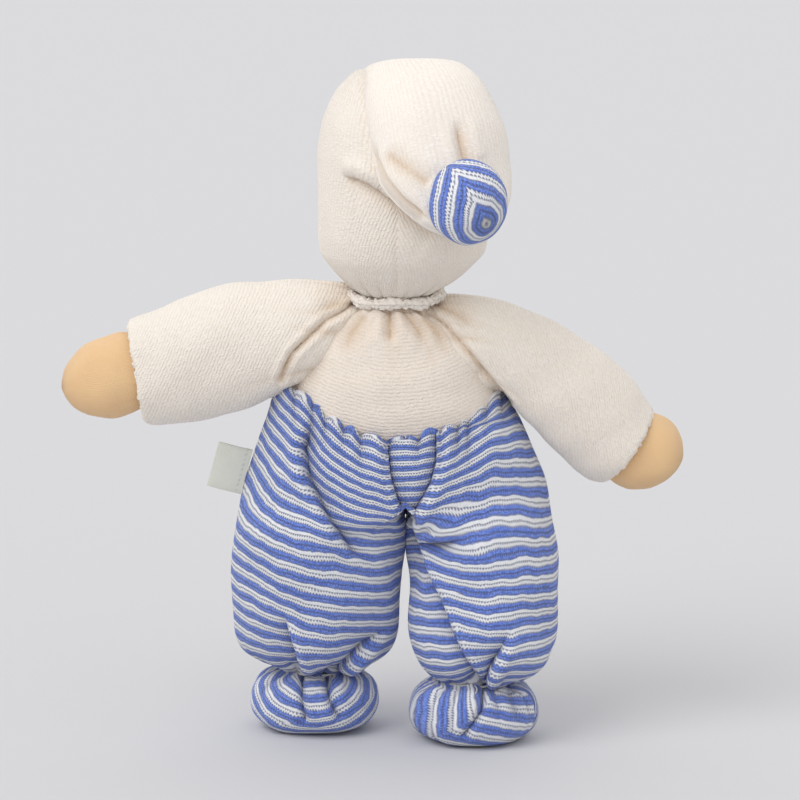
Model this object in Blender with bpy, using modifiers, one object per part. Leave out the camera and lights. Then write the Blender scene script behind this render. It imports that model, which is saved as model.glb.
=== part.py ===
"""A soft waldorf doll that stands 0.30 m tall.

Every limb is a sewn cover round its own lump of wool. The covers are gathered with thread at the
neck, waist and ankles, and the doll bends at those places. It faces -Y, its left side is at +X, and
it stands on the floor at Z = 0 in a relaxed pose, one foot a little ahead of the other. Units are
metres.
"""

import math

import bmesh
import bpy
from mathutils import Euler, Matrix, Vector

SIDES = {"left": 1, "right": -1}

# Cloth, thread, and the gaps between one piece and the next
TERRY_THICK = 0.0016
KNIT_THICK = 0.0014
JERSEY_THICK = 0.0010
LAYER_GAP = 0.0006
WOOL_GAP = 0.0008
BALL_GAP = 0.0016
SWING_GAP = 0.0008
TRIM_GAP = 0.0003
THREAD_RADIUS = 0.0006
CUT_OVERRUN = 0.040

# Neck, which the whole doll is laid out from, and how far it stands from the middle of the outline
NECK_X = 0.0013
OUTLINE_SHIFT_X = -0.0100
OUTLINE_SHIFT_Y = -0.0186
NECK_Z = 0.1915
NECK_RADIUS = 0.0123

# Head and hood, an upright egg with a round face opening and a gathered neck opening
HEAD_SHIFT_X = -0.0037
HEAD_RISE = 0.0473
HOOD_HALF_WIDTH = 0.0368
HOOD_HALF_DEPTH = 0.0385
HOOD_HALF_HEIGHT = 0.0470
HOOD_MOUTH_RADIUS = 0.0152
FACE_DROP = 0.0025
FACE_HALF_WIDTH = 0.0250
FACE_HALF_HEIGHT = 0.0270
EYE_SPACING = 0.0200
EYE_RADIUS = 0.0020
MOUTH_DROP = 0.0130
MOUTH_HALF_WIDTH = 0.0035
MOUTH_HALF_HEIGHT = 0.0011
STITCH_THICK = 0.0006

# Tail of the cap, folded over to the back, and the striped ball at its end
TAIL_HALF_THICK = 0.0066
TAIL_HALF_WIDTH = 0.0290
TIP_HALF_WIDTH = 0.0165
TIP_HALF_HEIGHT = 0.0182
TIP_HALF_DEPTH = 0.0155
TIP_SINK = 0.0030

# Torso cover, from the neck down into the trousers
TORSO_TOP_Z = 0.1855
TORSO_BOTTOM_Z = 0.1370
TORSO_HALF_WIDTH = 0.0415
TORSO_HALF_DEPTH = 0.0275
TORSO_MOUTH_RADIUS = 0.0142

# Trousers: the seat and the line where the legs part
WAIST_Z = 0.1480
WAIST_HALF_WIDTH = 0.0468
WAIST_HALF_DEPTH = 0.0315
WAIST_THREAD_DROP = 0.0030
SEAT_HALF_WIDTH = 0.0650
SEAT_HALF_DEPTH = 0.0320
SEAT_BOTTOM_Z = 0.1105
LEG_PARTING_X = -0.0044
LEG_PARTING_GAP = 0.0010

# Legs, each with a round hip that turns inside the seat
HIP_DROP = 0.0125
HIP_Z = SEAT_BOTTOM_Z - HIP_DROP
HIP_INSET = 0.0030
HIP_RADIUS = SEAT_HALF_DEPTH - HIP_INSET
LEG_LENGTH = 0.0717
LEG_HALF_WIDTH = {"left": 0.0380, "right": 0.0322}
LEG_HALF_DEPTH = 0.0303
LEG_MOUTH_RADIUS = 0.0180
LEG_MOUTH_RISE = 0.0025
LEG_SWING_DEG = {"left": 8.0, "right": -8.0}
ANKLE_SHIFT_X = {"left": 0.0022, "right": 0.0044}

# Feet, each with a round ankle that turns inside the leg
ANKLE_RADIUS = 0.0123
FOOT_NECK_RADIUS = 0.0140
FOOT_NECK_DROP = 0.0020
FOOT_HALF_WIDTH = 0.0280
FOOT_HALF_DEPTH = 0.0275
SOLE_RADIUS = 0.0185
SOLE_CUT = 0.0005

# Arms, each with a round shoulder that turns inside the torso
SHOULDER_SPREAD = 0.0370
SHOULDER_Z = 0.1745
SHOULDER_RADIUS = 0.0205
ARM_BELOW_LEVEL_DEG = {"left": 10.5, "right": 36.5}
ARM_LENGTH = {"left": 0.0752, "right": 0.0800}
ARM_ROOT_HALF_WIDTH = {"left": 0.0215, "right": 0.0162}
ARM_ROOT_HALF_DEPTH = 0.0195
ARM_HALF_WIDTH = {"left": 0.0264, "right": 0.0218}
ARM_HALF_DEPTH = {"left": 0.0208, "right": 0.0215}
ARM_BOW = 0.0042
CUFF_HALF_WIDTH = {"left": 0.0232, "right": 0.0192}
CUFF_HALF_DEPTH = 0.0192

# Hands, each with a round wrist that turns inside the cuff
WRIST_INSET = 0.0070
WRIST_RADIUS = 0.0144
HAND_REACH = {"left": 0.0330, "right": 0.0236}
HAND_HALF_WIDTH = {"left": 0.0172, "right": 0.0168}
HAND_HALF_DEPTH = 0.0152

# Care label, sewn into the side seam of the left leg
LABEL_LENGTH = 0.0155
LABEL_HEIGHT = 0.0210
LABEL_THICK = 0.0008
LABEL_RISE = 0.0185
LABEL_LEAN_DEG = 15.0
LABEL_MARGIN = 0.0072

# Shapes: angles round a ball, and shares of the length, of the swell and of the width
HEAD_POWER = 3.0
HOOD_ANGLES_DEG = (10.0, 28.0, 46.0, 64.0, 82.0, 100.0, 118.0, 138.0)
HOOD_LEAN_SHARES = (0.0, 0.0, 0.0, 0.0, 0.0, 0.0, 0.1, 0.4, 1.0)
TAIL_ANGLES_DEG = (-2.0, 20.0, 41.0, 62.0, 80.0, 92.0)
TAIL_SIDE_SHARES = (0.25, 0.30, 0.38, 0.46, 0.62, 0.76)
TAIL_WIDTH_SHARES = (0.92, 0.97, 1.0, 0.98, 0.78, 0.46)
TAIL_END_SHARES = (0.55, 0.50)
TIP_SIDE_SHARE = 0.42
TIP_ANGLE_DEG = 82.0
TIP_ANGLES_DEG = (22.0, 46.0, 72.0, 98.0, 124.0, 150.0)
TORSO_DROP_SHARES = (0.0, 0.16, 0.40, 0.72, 1.0)
TORSO_SWELL_SHARES = (0.0, 0.50, 0.86, 1.0, 0.98)
SEAT_DROP_SHARES = (0.0, 0.18, 0.38, 0.58, 0.80, 1.0)
SEAT_WIDTH_SHARES = (0.0, 0.13, 0.38, 0.64, 0.86, 1.0)
SEAT_DEPTH_SHARES = (None, 1.0, 0.984, 0.922, 0.891, 0.859)
SHOULDER_ANGLES_DEG = (62.0, 32.0, 0.0)
ARM_ALONG_SHARES = (0.18, 0.36, 0.66, 1.0)
ARM_SWELL_SHARES = (0.0, 0.60, 1.0, None)
ARM_BOW_SHARES = (0.9, 1.0, 0.5, 0.0)
WRIST_ANGLES_DEG = (44.0, 0.0)
HAND_ALONG_SHARES = (0.0, 0.33, 0.66, 0.90)
HAND_SWELL_SHARES = (0.0, 1.0, 0.55, -2.2)
NARROWEST_SHARE = 0.1
FOOT_TOP_ANGLES_DEG = (70.0, 40.0, 10.0)
HIP_ANGLES_DEG = (64.0, 29.0, 0.0)
HIP_WIDTH_SHARES = (0.75, 0.85, 0.93)
LEG_ALONG_SHARES = (0.30, 0.55, 0.77, 0.90, 0.97, 1.0)
LEG_SWELL_SHARES = (0.97, 0.98, 0.96, 0.88, 0.52, 0.0)
LEG_DEPTH_SHARES = (0.97, 1.0, 1.0, 0.88, 0.52, 0.0)
FOOT_DROP_SHARES = (0.0, 0.10, 0.24, 0.50, 0.78, 1.0)
FOOT_SWELL_SHARES = (0.0, 0.10, 0.62, 1.0, 0.90, None)

LIMB_SIDES = 8
TRUNK_SIDES = 10
BALL_SEGMENTS = 14
CUTTER_SEGMENTS = 20
THREAD_STEPS = 16
WAIST_THREAD_STEPS = 32
PATCH_SEGMENTS = 8

COLOURS = {
    "cream_terry": ((0.86, 0.81, 0.73), 0.95),
    "striped_knit": ((0.45, 0.52, 0.82), 0.95),
    "skin_jersey": ((0.90, 0.66, 0.42), 0.85),
    "wool": ((0.80, 0.76, 0.66), 1.0),
    "thread": ((0.85, 0.80, 0.70), 0.7),
    "eye_thread": ((0.10, 0.14, 0.30), 0.7),
    "mouth_thread": ((0.65, 0.18, 0.16), 0.7),
    "label_tape": ((0.83, 0.83, 0.78), 0.8),
}


def clear_scene():
    for obj in list(bpy.data.objects):
        bpy.data.objects.remove(obj)


def make_collection(name):
    collection = bpy.data.collections.new(name)
    bpy.context.scene.collection.children.link(collection)
    return collection


def make_material(name):
    colour, roughness = COLOURS[name]
    material = bpy.data.materials.new(name)
    material.use_nodes = True
    shader = material.node_tree.nodes["Principled BSDF"]
    shader.inputs["Base Color"].default_value = (*colour, 1.0)
    shader.inputs["Roughness"].default_value = roughness
    shader.inputs["Metallic"].default_value = 0.0
    return material


def make_pivot(name, place, parent, turn=(0.0, 0.0, 0.0)):
    """An empty on a joint's axis, which carries the pieces that move together."""
    pivot = bpy.data.objects.new(name, None)
    DOLL.objects.link(pivot)
    pivot.parent = parent
    pivot.location = place
    pivot.rotation_euler = turn
    return pivot


def add_piece(name, mesh, material, pivot):
    mesh.materials.append(MATERIALS[material])
    obj = bpy.data.objects.new(name, mesh)
    DOLL.objects.link(obj)
    obj.parent = pivot
    return obj


def add_cutter(name, mesh, pivot, place=(0.0, 0.0, 0.0)):
    obj = bpy.data.objects.new(name, mesh)
    CUTTERS.objects.link(obj)
    obj.parent = pivot
    obj.location = place
    obj.hide_render = True
    obj.display_type = "WIRE"
    return obj


def cut(cutter, *pieces):
    for piece in pieces:
        boolean = piece.modifiers.new("cut_" + cutter.name, "BOOLEAN")
        boolean.operation = "DIFFERENCE"
        boolean.object = cutter


def mesh_from(name, builder):
    """Runs a function that fills an empty bmesh, and returns the smooth mesh it makes."""
    shape = bmesh.new()
    builder(shape)
    data = bpy.data.meshes.new(name)
    shape.to_mesh(data)
    shape.free()
    data.shade_smooth()
    return data


def ball_mesh(name, half_sizes, segments=BALL_SEGMENTS):
    def fill(shape):
        bmesh.ops.create_uvsphere(shape, u_segments=segments, v_segments=segments // 2, radius=1.0)
        shape.transform(Matrix.Diagonal((*half_sizes, 1.0)))

    return mesh_from(name, fill)


def box_mesh(name, size):
    def fill(shape):
        bmesh.ops.create_cube(shape, size=1.0)
        shape.transform(Matrix.Diagonal((*size, 1.0)))

    return mesh_from(name, fill)


def cylinder_mesh(name, half_width, half_height, length, axis):
    """An oval cylinder with its middle at the origin and its length along X or Y."""
    upright = Matrix.Diagonal((half_width, half_height, length, 1.0))
    turn = Matrix.Rotation(math.radians(90.0), 4, "X" if axis == "Y" else "Y")

    def fill(shape):
        bmesh.ops.create_cone(
            shape,
            cap_ends=True,
            segments=CUTTER_SEGMENTS,
            radius1=1.0,
            radius2=1.0,
            depth=1.0,
            matrix=turn @ upright,
        )

    return mesh_from(name, fill)


def section(height, half_width, half_depth, shift_x=0.0):
    """A level oval: its middle and its two half axes."""
    middle = Vector((shift_x, 0.0, height))
    return middle, Vector((half_width, 0.0, 0.0)), Vector((0.0, half_depth, 0.0))


def ring_gain(sides):
    """How much larger a cage's ring is than the smooth ring that subdivision makes of it."""
    return 3.0 / (2.0 + math.cos(2.0 * math.pi / sides))


def cage_mesh(name, sections, sides, first_closed, last_closed, gain=1.0):
    """A loft through sections that run downwards, with each end open or closed."""

    def fill(shape):
        rings = []
        for middle, across, deep in sections:
            ring = []
            for step in range(sides):
                angle = 2.0 * math.pi * step / sides
                spoke = across * math.cos(angle) + deep * math.sin(angle)
                ring.append(shape.verts.new(middle + gain * spoke))
            rings.append(ring)
        for upper, lower in zip(rings, rings[1:]):
            for step in range(sides):
                after = (step + 1) % sides
                shape.faces.new((upper[step], lower[step], lower[after], upper[after]))
        if first_closed:
            shape.faces.new(rings[0])
        if last_closed:
            shape.faces.new(rings[-1][::-1])

    return mesh_from(name, fill)


def make_smooth(obj):
    smooth = obj.modifiers.new("smooth", "SUBSURF")
    smooth.levels = 1
    smooth.render_levels = 1


def soft_cover(name, sections, sides, thick, material, pivot, first_closed=False, last_closed=False):
    """A cloth cover: an open cage, made smooth and given the cloth's thickness inwards."""
    cage = cage_mesh(name, sections, sides, first_closed, last_closed, ring_gain(sides))
    cover = add_piece(name, cage, material, pivot)
    make_smooth(cover)
    cloth = cover.modifiers.new("cloth", "SOLIDIFY")
    cloth.thickness = thick
    cloth.offset = -1.0
    return cover


def smoothed(sections):
    """The sections as subdivision leaves them, each drawn towards its neighbours by a sixth."""
    result = [sections[0]]
    for before, here, after in zip(sections, sections[1:], sections[2:]):
        result.append(tuple((b + 4.0 * h + a) / 6.0 for b, h, a in zip(before, here, after)))
    return result + [sections[-1]]


def inset(sections, inwards):
    """The same sections, drawn in square to the profile's own slope by one amount."""
    smaller = []
    last = len(sections) - 1
    for step, (middle, across, deep) in enumerate(sections):
        above = sections[max(step - 1, 0)]
        below = sections[min(step + 1, last)]
        fall = above[0].z - below[0].z
        slopes = [(below[axis].length - above[axis].length) / fall for axis in (1, 2)]
        mean = sum(slopes) / 2.0
        lowered = 0.0 if step in (0, last) else inwards * mean / math.hypot(1.0, mean)
        halves = []
        for half, slope in zip((across, deep), slopes):
            drawn = inwards * math.hypot(1.0, slope) - slope * lowered
            halves.append(half * max(1.0 - drawn / half.length, NARROWEST_SHARE))
        smaller.append((middle - Vector((0.0, 0.0, lowered)), *halves))
    return smaller


def filling(name, sections, sides, cover_thick, pivot):
    """A lump of wool that fills a cover with the same sections, with plain facets."""
    rings = inset(smoothed(sections), cover_thick + WOOL_GAP)
    return add_piece(name, cage_mesh(name, rings, sides, True, True), "wool", pivot)


def swollen(base, full, share, end=None):
    """A half size that grows from its base by a share of the swell, or is the size at the end."""
    return end if share is None else base + (full - base) * share


def thread_ring(name, half_width, half_depth, place, pivot, steps=THREAD_STEPS):
    """A gathering thread: one closed loop, drawn a little large so that its chords clear the cloth."""
    gain = 1.0 / math.cos(math.pi / steps)
    curve = bpy.data.curves.new(name, "CURVE")
    curve.dimensions = "3D"
    curve.bevel_depth = THREAD_RADIUS
    curve.bevel_resolution = 1
    spline = curve.splines.new("POLY")
    spline.points.add(steps - 1)
    spline.use_cyclic_u = True
    for step, point in enumerate(spline.points):
        angle = 2.0 * math.pi * step / steps
        x = gain * half_width * math.cos(angle)
        y = gain * half_depth * math.sin(angle)
        point.co = (x, y, 0.0, 1.0)
    curve.materials.append(MATERIALS["thread"])
    ring = bpy.data.objects.new(name, curve)
    DOLL.objects.link(ring)
    ring.parent = pivot
    ring.location = place
    return ring


def torso_sections():
    length = TORSO_TOP_Z - TORSO_BOTTOM_Z
    sections = []
    for drop, share in zip(TORSO_DROP_SHARES, TORSO_SWELL_SHARES):
        half_width = swollen(TORSO_MOUTH_RADIUS, TORSO_HALF_WIDTH, share)
        half_depth = swollen(TORSO_MOUTH_RADIUS, TORSO_HALF_DEPTH, share)
        sections.append(section(TORSO_TOP_Z - drop * length, half_width, half_depth))
    return sections


def seat_sections():
    length = WAIST_Z - SEAT_BOTTOM_Z
    sections = []
    for drop, wide, deep in zip(SEAT_DROP_SHARES, SEAT_WIDTH_SHARES, SEAT_DEPTH_SHARES):
        half_width = swollen(WAIST_HALF_WIDTH, SEAT_HALF_WIDTH, wide)
        half_depth = WAIST_HALF_DEPTH if deep is None else SEAT_HALF_DEPTH * deep
        sections.append(section(WAIST_Z - drop * length, half_width, half_depth))
    return sections


def body_filling(pivot):
    """The wool of the whole trunk, which fills the torso cover and swells below it into the seat."""
    upper = inset(smoothed(torso_sections()), TERRY_THICK + LAYER_GAP)
    lower = inset(smoothed(seat_sections()), KNIT_THICK + LAYER_GAP)
    below = [ring for ring in lower if ring[0].z < TORSO_BOTTOM_Z - KNIT_THICK]
    mesh = cage_mesh("body_stuffing", upper + below, TRUNK_SIDES, True, True)
    return add_piece("body_stuffing", mesh, "wool", pivot)


def build_trunk(pivot):
    torso = soft_cover(
        "torso_cover", torso_sections(), TRUNK_SIDES, TERRY_THICK, "cream_terry", pivot
    )
    seat = soft_cover(
        "trouser_seat", seat_sections(), TRUNK_SIDES, KNIT_THICK, "striped_knit", pivot
    )
    stuffing = body_filling(pivot)
    thread_out = TRIM_GAP + THREAD_RADIUS
    thread_ring(
        "waist_thread",
        TORSO_HALF_WIDTH + thread_out,
        TORSO_HALF_DEPTH + thread_out,
        (0.0, 0.0, WAIST_Z - WAIST_THREAD_DROP),
        pivot,
        WAIST_THREAD_STEPS,
    )

    for side, sign in SIDES.items():
        socket = ball_mesh(side + "_armhole", (SHOULDER_RADIUS + SWING_GAP,) * 3, CUTTER_SEGMENTS)
        place = (sign * SHOULDER_SPREAD, 0.0, SHOULDER_Z)
        cut(add_cutter(side + "_armhole", socket, pivot, place), torso, stuffing)

    neck_seat = ball_mesh("neck_seat", (NECK_RADIUS + LAYER_GAP,) * 3, CUTTER_SEGMENTS)
    cut(add_cutter("neck_seat", neck_seat, pivot, (0.0, 0.0, NECK_Z)), stuffing)

    hip_room = HIP_RADIUS + SWING_GAP
    full_width = 2.0 * (SEAT_HALF_WIDTH + CUT_OVERRUN)
    hips = cylinder_mesh("hip_room", hip_room, hip_room, full_width, "X")
    cut(add_cutter("hip_room", hips, pivot, (0.0, 0.0, HIP_Z)), seat, stuffing)

    lap_size = (full_width, 2.0 * (SEAT_HALF_DEPTH + CUT_OVERRUN), 2.0 * hip_room)
    lap = box_mesh("lap_room", lap_size)
    cut(add_cutter("lap_room", lap, pivot, (0.0, -lap_size[1] / 2.0, HIP_Z)), seat, stuffing)


def build_neck(pivot):
    add_piece("neck_stuffing", ball_mesh("neck_stuffing", (NECK_RADIUS,) * 3), "wool", pivot)
    ring = NECK_RADIUS + TRIM_GAP + THREAD_RADIUS
    thread_ring("neck_thread", ring, ring, (0.0, 0.0, 0.0), pivot)


def head_shares(reach, rise):
    """Shares of the hood's half sizes on its profile, which is full at the crown and the chin."""
    full = (reach**HEAD_POWER + abs(rise) ** HEAD_POWER) ** (1.0 / HEAD_POWER)
    return reach / full, rise / full


def hood_sections():
    """Sections of the hood from its crown down to the neck opening, round the middle of the head."""
    mouth = math.pi - math.asin(HOOD_MOUTH_RADIUS / HOOD_HALF_WIDTH)
    angles = [math.radians(degrees) for degrees in HOOD_ANGLES_DEG] + [mouth]
    sections = []
    for angle, lean in zip(angles, HOOD_LEAN_SHARES):
        reach, rise = head_shares(math.sin(angle), math.cos(angle))
        height = HOOD_HALF_HEIGHT * rise
        half_depth = HOOD_MOUTH_RADIUS if angle == mouth else HOOD_HALF_DEPTH * reach
        shift = -HEAD_SHIFT_X * lean
        sections.append(section(height, HOOD_HALF_WIDTH * reach, half_depth, shift))
    return sections


def stitch_patch(name, x, z, half_width, half_height, material, middle):
    """A small pad of embroidery, laid against the front of the face."""
    inwards = TERRY_THICK + LAYER_GAP
    share_z = z / (HOOD_HALF_HEIGHT - inwards)
    reach = (1.0 - abs(share_z) ** HEAD_POWER) ** (1.0 / HEAD_POWER)
    share_x = x / (HOOD_HALF_WIDTH - inwards) / reach
    depth = (HOOD_HALF_DEPTH - inwards) * reach * math.sqrt(1.0 - share_x**2)
    half_sizes = (half_width, STITCH_THICK, half_height)
    pad = add_piece(name, ball_mesh(name, half_sizes, PATCH_SEGMENTS), material, middle)
    pad.location = (x, -depth - STITCH_THICK, z)
    pad.rotation_euler = (math.asin(share_z), 0.0, math.asin(share_x))


def build_face(middle):
    for side, sign in SIDES.items():
        x = sign * EYE_SPACING / 2.0
        stitch_patch(side + "_eye", x, -FACE_DROP, EYE_RADIUS, EYE_RADIUS, "eye_thread", middle)
    stitch_patch(
        "mouth",
        0.0,
        -FACE_DROP - MOUTH_DROP,
        MOUTH_HALF_WIDTH,
        MOUTH_HALF_HEIGHT,
        "mouth_thread",
        middle,
    )


def build_head(middle):
    rings = hood_sections()
    hood = soft_cover("hood", rings, TRUNK_SIDES, TERRY_THICK, "cream_terry", middle, first_closed=True)
    length = HOOD_HALF_DEPTH + CUT_OVERRUN
    face = cylinder_mesh("face_opening", FACE_HALF_WIDTH, FACE_HALF_HEIGHT, length, "Y")
    cut(add_cutter("face_opening", face, middle, (0.0, -length / 2.0, -FACE_DROP)), hood)

    hood_inset = TERRY_THICK + LAYER_GAP
    skin_rings = inset(rings, hood_inset)
    crown, *rest = skin_rings
    skin_rings = [(crown[0] - Vector((0.0, 0.0, hood_inset)), crown[1], crown[2])] + rest
    skin = soft_cover(
        "head_skin", skin_rings, TRUNK_SIDES, JERSEY_THICK, "skin_jersey", middle, first_closed=True
    )
    wool_inset = hood_inset + JERSEY_THICK + BALL_GAP
    half_sizes = (
        HOOD_HALF_WIDTH - wool_inset,
        HOOD_HALF_DEPTH - wool_inset,
        HOOD_HALF_HEIGHT - wool_inset - hood_inset,
    )
    wool = add_piece("head_stuffing", ball_mesh("head_stuffing", half_sizes), "wool", middle)
    neck_seat = ball_mesh("head_neck_seat", (NECK_RADIUS + LAYER_GAP,) * 3, CUTTER_SEGMENTS)
    place = (-HEAD_SHIFT_X, 0.0, -HEAD_RISE)
    cut(add_cutter("head_neck_seat", neck_seat, middle, place), skin, wool)
    build_face(middle)


def on_hood(side_share, degrees, outwards):
    """A place outside the hood, and the way out of the hood there.

    The side share runs from the middle to the right of the head, and the angle from the crown
    down its back.
    """
    angle = math.radians(degrees)
    ring_share = math.sqrt(1.0 - side_share**2)
    back_share = ring_share * math.sin(angle)
    level_share = math.hypot(side_share, back_share)
    reach, rise = head_shares(level_share, ring_share * math.cos(angle))
    widen = reach / level_share
    place = Vector(
        (
            -side_share * widen * HOOD_HALF_WIDTH,
            back_share * widen * HOOD_HALF_DEPTH,
            rise * HOOD_HALF_HEIGHT,
        )
    )
    steep = (widen * level_share) ** (HEAD_POWER - 2.0)
    out = Vector(
        (
            -steep * side_share * widen / HOOD_HALF_WIDTH,
            steep * back_share * widen / HOOD_HALF_DEPTH,
            math.copysign(abs(rise) ** (HEAD_POWER - 1.0), rise) / HOOD_HALF_HEIGHT,
        )
    ).normalized()
    return place + out * outwards, out


def tail_sections():
    """Sections of the tail, from the fold on the crown down the back of the hood."""
    lift = TAIL_HALF_THICK + SWING_GAP
    spots = [
        on_hood(side, angle, lift) for side, angle in zip(TAIL_SIDE_SHARES, TAIL_ANGLES_DEG)
    ]
    sections = []
    for step, (middle, out) in enumerate(spots):
        before = spots[max(step - 1, 0)][0]
        after = spots[min(step + 1, len(spots) - 1)][0]
        way = (after - before).normalized()
        across = (way.cross(out)).normalized()
        thin = across.cross(way).normalized()
        half_width = TAIL_HALF_WIDTH * TAIL_WIDTH_SHARES[step]
        sections.append((middle, across * half_width, thin * TAIL_HALF_THICK))
    middle, across, thin = sections[0]
    way_back = (middle - sections[1][0]).normalized()
    wide, flat = TAIL_END_SHARES
    fold = (middle + way_back * TAIL_HALF_THICK, across * wide, thin * flat)
    return [fold] + sections


def build_tail(pivot, hood_middle):
    """The folded tail and the ball at its end. The pivot sits at hood_middle from the head's middle."""
    rings = [(middle - hood_middle, across, thin) for middle, across, thin in tail_sections()]
    cage = cage_mesh("cap_tail", rings, LIMB_SIDES, True, True, ring_gain(LIMB_SIDES))
    tail = add_piece("cap_tail", cage, "cream_terry", pivot)
    make_smooth(tail)

    outwards = SWING_GAP + 2.0 * TAIL_HALF_THICK + TIP_HALF_DEPTH - TIP_SINK
    place, out = on_hood(TIP_SIDE_SHARE, TIP_ANGLE_DEG, outwards)
    place = place - hood_middle
    tip_sizes = [size + LAYER_GAP for size in (TIP_HALF_WIDTH, TIP_HALF_HEIGHT, TIP_HALF_DEPTH)]
    turn = Euler((math.radians(-90.0), 0.0, math.atan2(-out.x, out.y)))
    seat = add_cutter("tip_seat", ball_mesh("tip_seat", tip_sizes, CUTTER_SEGMENTS), pivot, place)
    seat.rotation_euler = turn
    cut(seat, tail)

    rings = []
    for degrees in TIP_ANGLES_DEG:
        angle = math.radians(degrees)
        reach = math.sin(angle)
        height = TIP_HALF_DEPTH * math.cos(angle)
        rings.append(section(height, TIP_HALF_WIDTH * reach, TIP_HALF_HEIGHT * reach))
    tip = soft_cover(
        "cap_tip", rings, LIMB_SIDES, KNIT_THICK, "striped_knit", pivot, first_closed=True
    )
    wool_sizes = [size - LAYER_GAP - KNIT_THICK - BALL_GAP for size in tip_sizes]
    wool_mesh = ball_mesh("cap_tip_stuffing", wool_sizes)
    wool = add_piece("cap_tip_stuffing", wool_mesh, "wool", pivot)
    for piece in (tip, wool):
        piece.location = place
        piece.rotation_euler = turn


def arm_sections(side):
    sections = []
    for degrees in SHOULDER_ANGLES_DEG:
        radius = SHOULDER_RADIUS * math.cos(math.radians(degrees))
        height = SHOULDER_RADIUS * math.sin(math.radians(degrees))
        sections.append(section(height, radius, radius))
    for along, share, bow in zip(ARM_ALONG_SHARES, ARM_SWELL_SHARES, ARM_BOW_SHARES):
        root_width = ARM_ROOT_HALF_WIDTH[side]
        half_width = swollen(root_width, ARM_HALF_WIDTH[side], share, CUFF_HALF_WIDTH[side])
        half_depth = swollen(ARM_ROOT_HALF_DEPTH, ARM_HALF_DEPTH[side], share, CUFF_HALF_DEPTH)
        shift = SIDES[side] * bow * ARM_BOW
        sections.append(section(-along * ARM_LENGTH[side], half_width, half_depth, shift))
    return sections


def build_arm(side, pivot):
    rings = arm_sections(side)
    soft_cover(side + "_sleeve", rings, LIMB_SIDES, TERRY_THICK, "cream_terry", pivot)
    wool = filling(side + "_arm_stuffing", rings, LIMB_SIDES, TERRY_THICK, pivot)
    wrist_room = WRIST_RADIUS + SWING_GAP
    room_width = 2.0 * (CUFF_HALF_WIDTH[side] + TERRY_THICK)
    room_mesh = cylinder_mesh(side + "_cuff_room", room_width, 2.0 * WRIST_INSET, 2.0 * room_width, "Y")
    cuff_room = add_cutter(side + "_cuff_room", room_mesh, pivot, (0.0, 0.0, -ARM_LENGTH[side]))
    wrist_mesh = ball_mesh(side + "_wrist_seat", (wrist_room,) * 3, CUTTER_SEGMENTS)
    wrist_place = (0.0, 0.0, WRIST_INSET - ARM_LENGTH[side])
    cut(cuff_room, wool)
    cut(add_cutter(side + "_wrist_seat", wrist_mesh, pivot, wrist_place), wool)


def build_hand(side, pivot):
    rings = []
    for degrees in WRIST_ANGLES_DEG:
        radius = WRIST_RADIUS * math.cos(math.radians(degrees))
        rings.append(section(WRIST_RADIUS * math.sin(math.radians(degrees)), radius, radius))
    length = HAND_REACH[side]
    for along, share in zip(HAND_ALONG_SHARES, HAND_SWELL_SHARES):
        half_width = swollen(WRIST_RADIUS, HAND_HALF_WIDTH[side], share)
        half_depth = swollen(WRIST_RADIUS, HAND_HALF_DEPTH, share)
        rings.append(section(-WRIST_INSET - along * length, half_width, half_depth))
    middle, across, deep = rings[-1]
    rings.append((Vector((0.0, 0.0, -WRIST_INSET - length)), across / 2.0, deep / 2.0))
    soft_cover(side + "_hand", rings, LIMB_SIDES, JERSEY_THICK, "skin_jersey", pivot, last_closed=True)
    rings[-1] = (middle.lerp(rings[-1][0], 0.5), across / 2.0, deep / 2.0)
    filling(side + "_hand_stuffing", rings, LIMB_SIDES, JERSEY_THICK, pivot)
    ring = WRIST_RADIUS + TRIM_GAP + THREAD_RADIUS
    thread_ring(side + "_wrist_thread", ring, ring, (0.0, 0.0, -WRIST_INSET / 2.0), pivot)


def leg_sections(side):
    full_width = LEG_HALF_WIDTH[side]
    sections = []
    for degrees, wide in zip(HIP_ANGLES_DEG, HIP_WIDTH_SHARES):
        angle = math.radians(degrees)
        half_depth = HIP_RADIUS * math.cos(angle)
        sections.append(section(HIP_RADIUS * math.sin(angle), full_width * wide, half_depth))
    length = LEG_LENGTH - LEG_MOUTH_RISE
    shares = zip(LEG_ALONG_SHARES, LEG_SWELL_SHARES, LEG_DEPTH_SHARES)
    for along, wide, deep in shares:
        half_width = swollen(LEG_MOUTH_RADIUS, full_width, wide)
        half_depth = swollen(LEG_MOUTH_RADIUS, LEG_HALF_DEPTH, deep)
        shift = ANKLE_SHIFT_X[side] * along
        sections.append(section(-along * length, half_width, half_depth, shift))
    return sections


def build_label(pivot):
    """The label is one folded piece of tape, whose sewn edge lies on the pivot."""
    mesh = box_mesh("care_label", (LABEL_LENGTH, LABEL_THICK, LABEL_HEIGHT))
    tape = add_piece("care_label", mesh, "label_tape", pivot)
    tape.location = (LABEL_LENGTH / 2.0, 0.0, 0.0)


def label_place():
    """The middle of the label's sewn edge, from the left hip: just outside the leg's side seam."""
    rings = smoothed(leg_sections("left"))
    lean = math.tan(math.radians(LABEL_LEAN_DEG))
    outermost = 0.0
    for middle, across, _ in rings:
        if abs(middle.z - LABEL_RISE) < LABEL_HEIGHT / 2.0 + LABEL_MARGIN:
            outermost = max(outermost, middle.x + across.length + (middle.z - LABEL_RISE) * lean)
    return Vector((outermost + TRIM_GAP, 0.0, LABEL_RISE))


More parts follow.
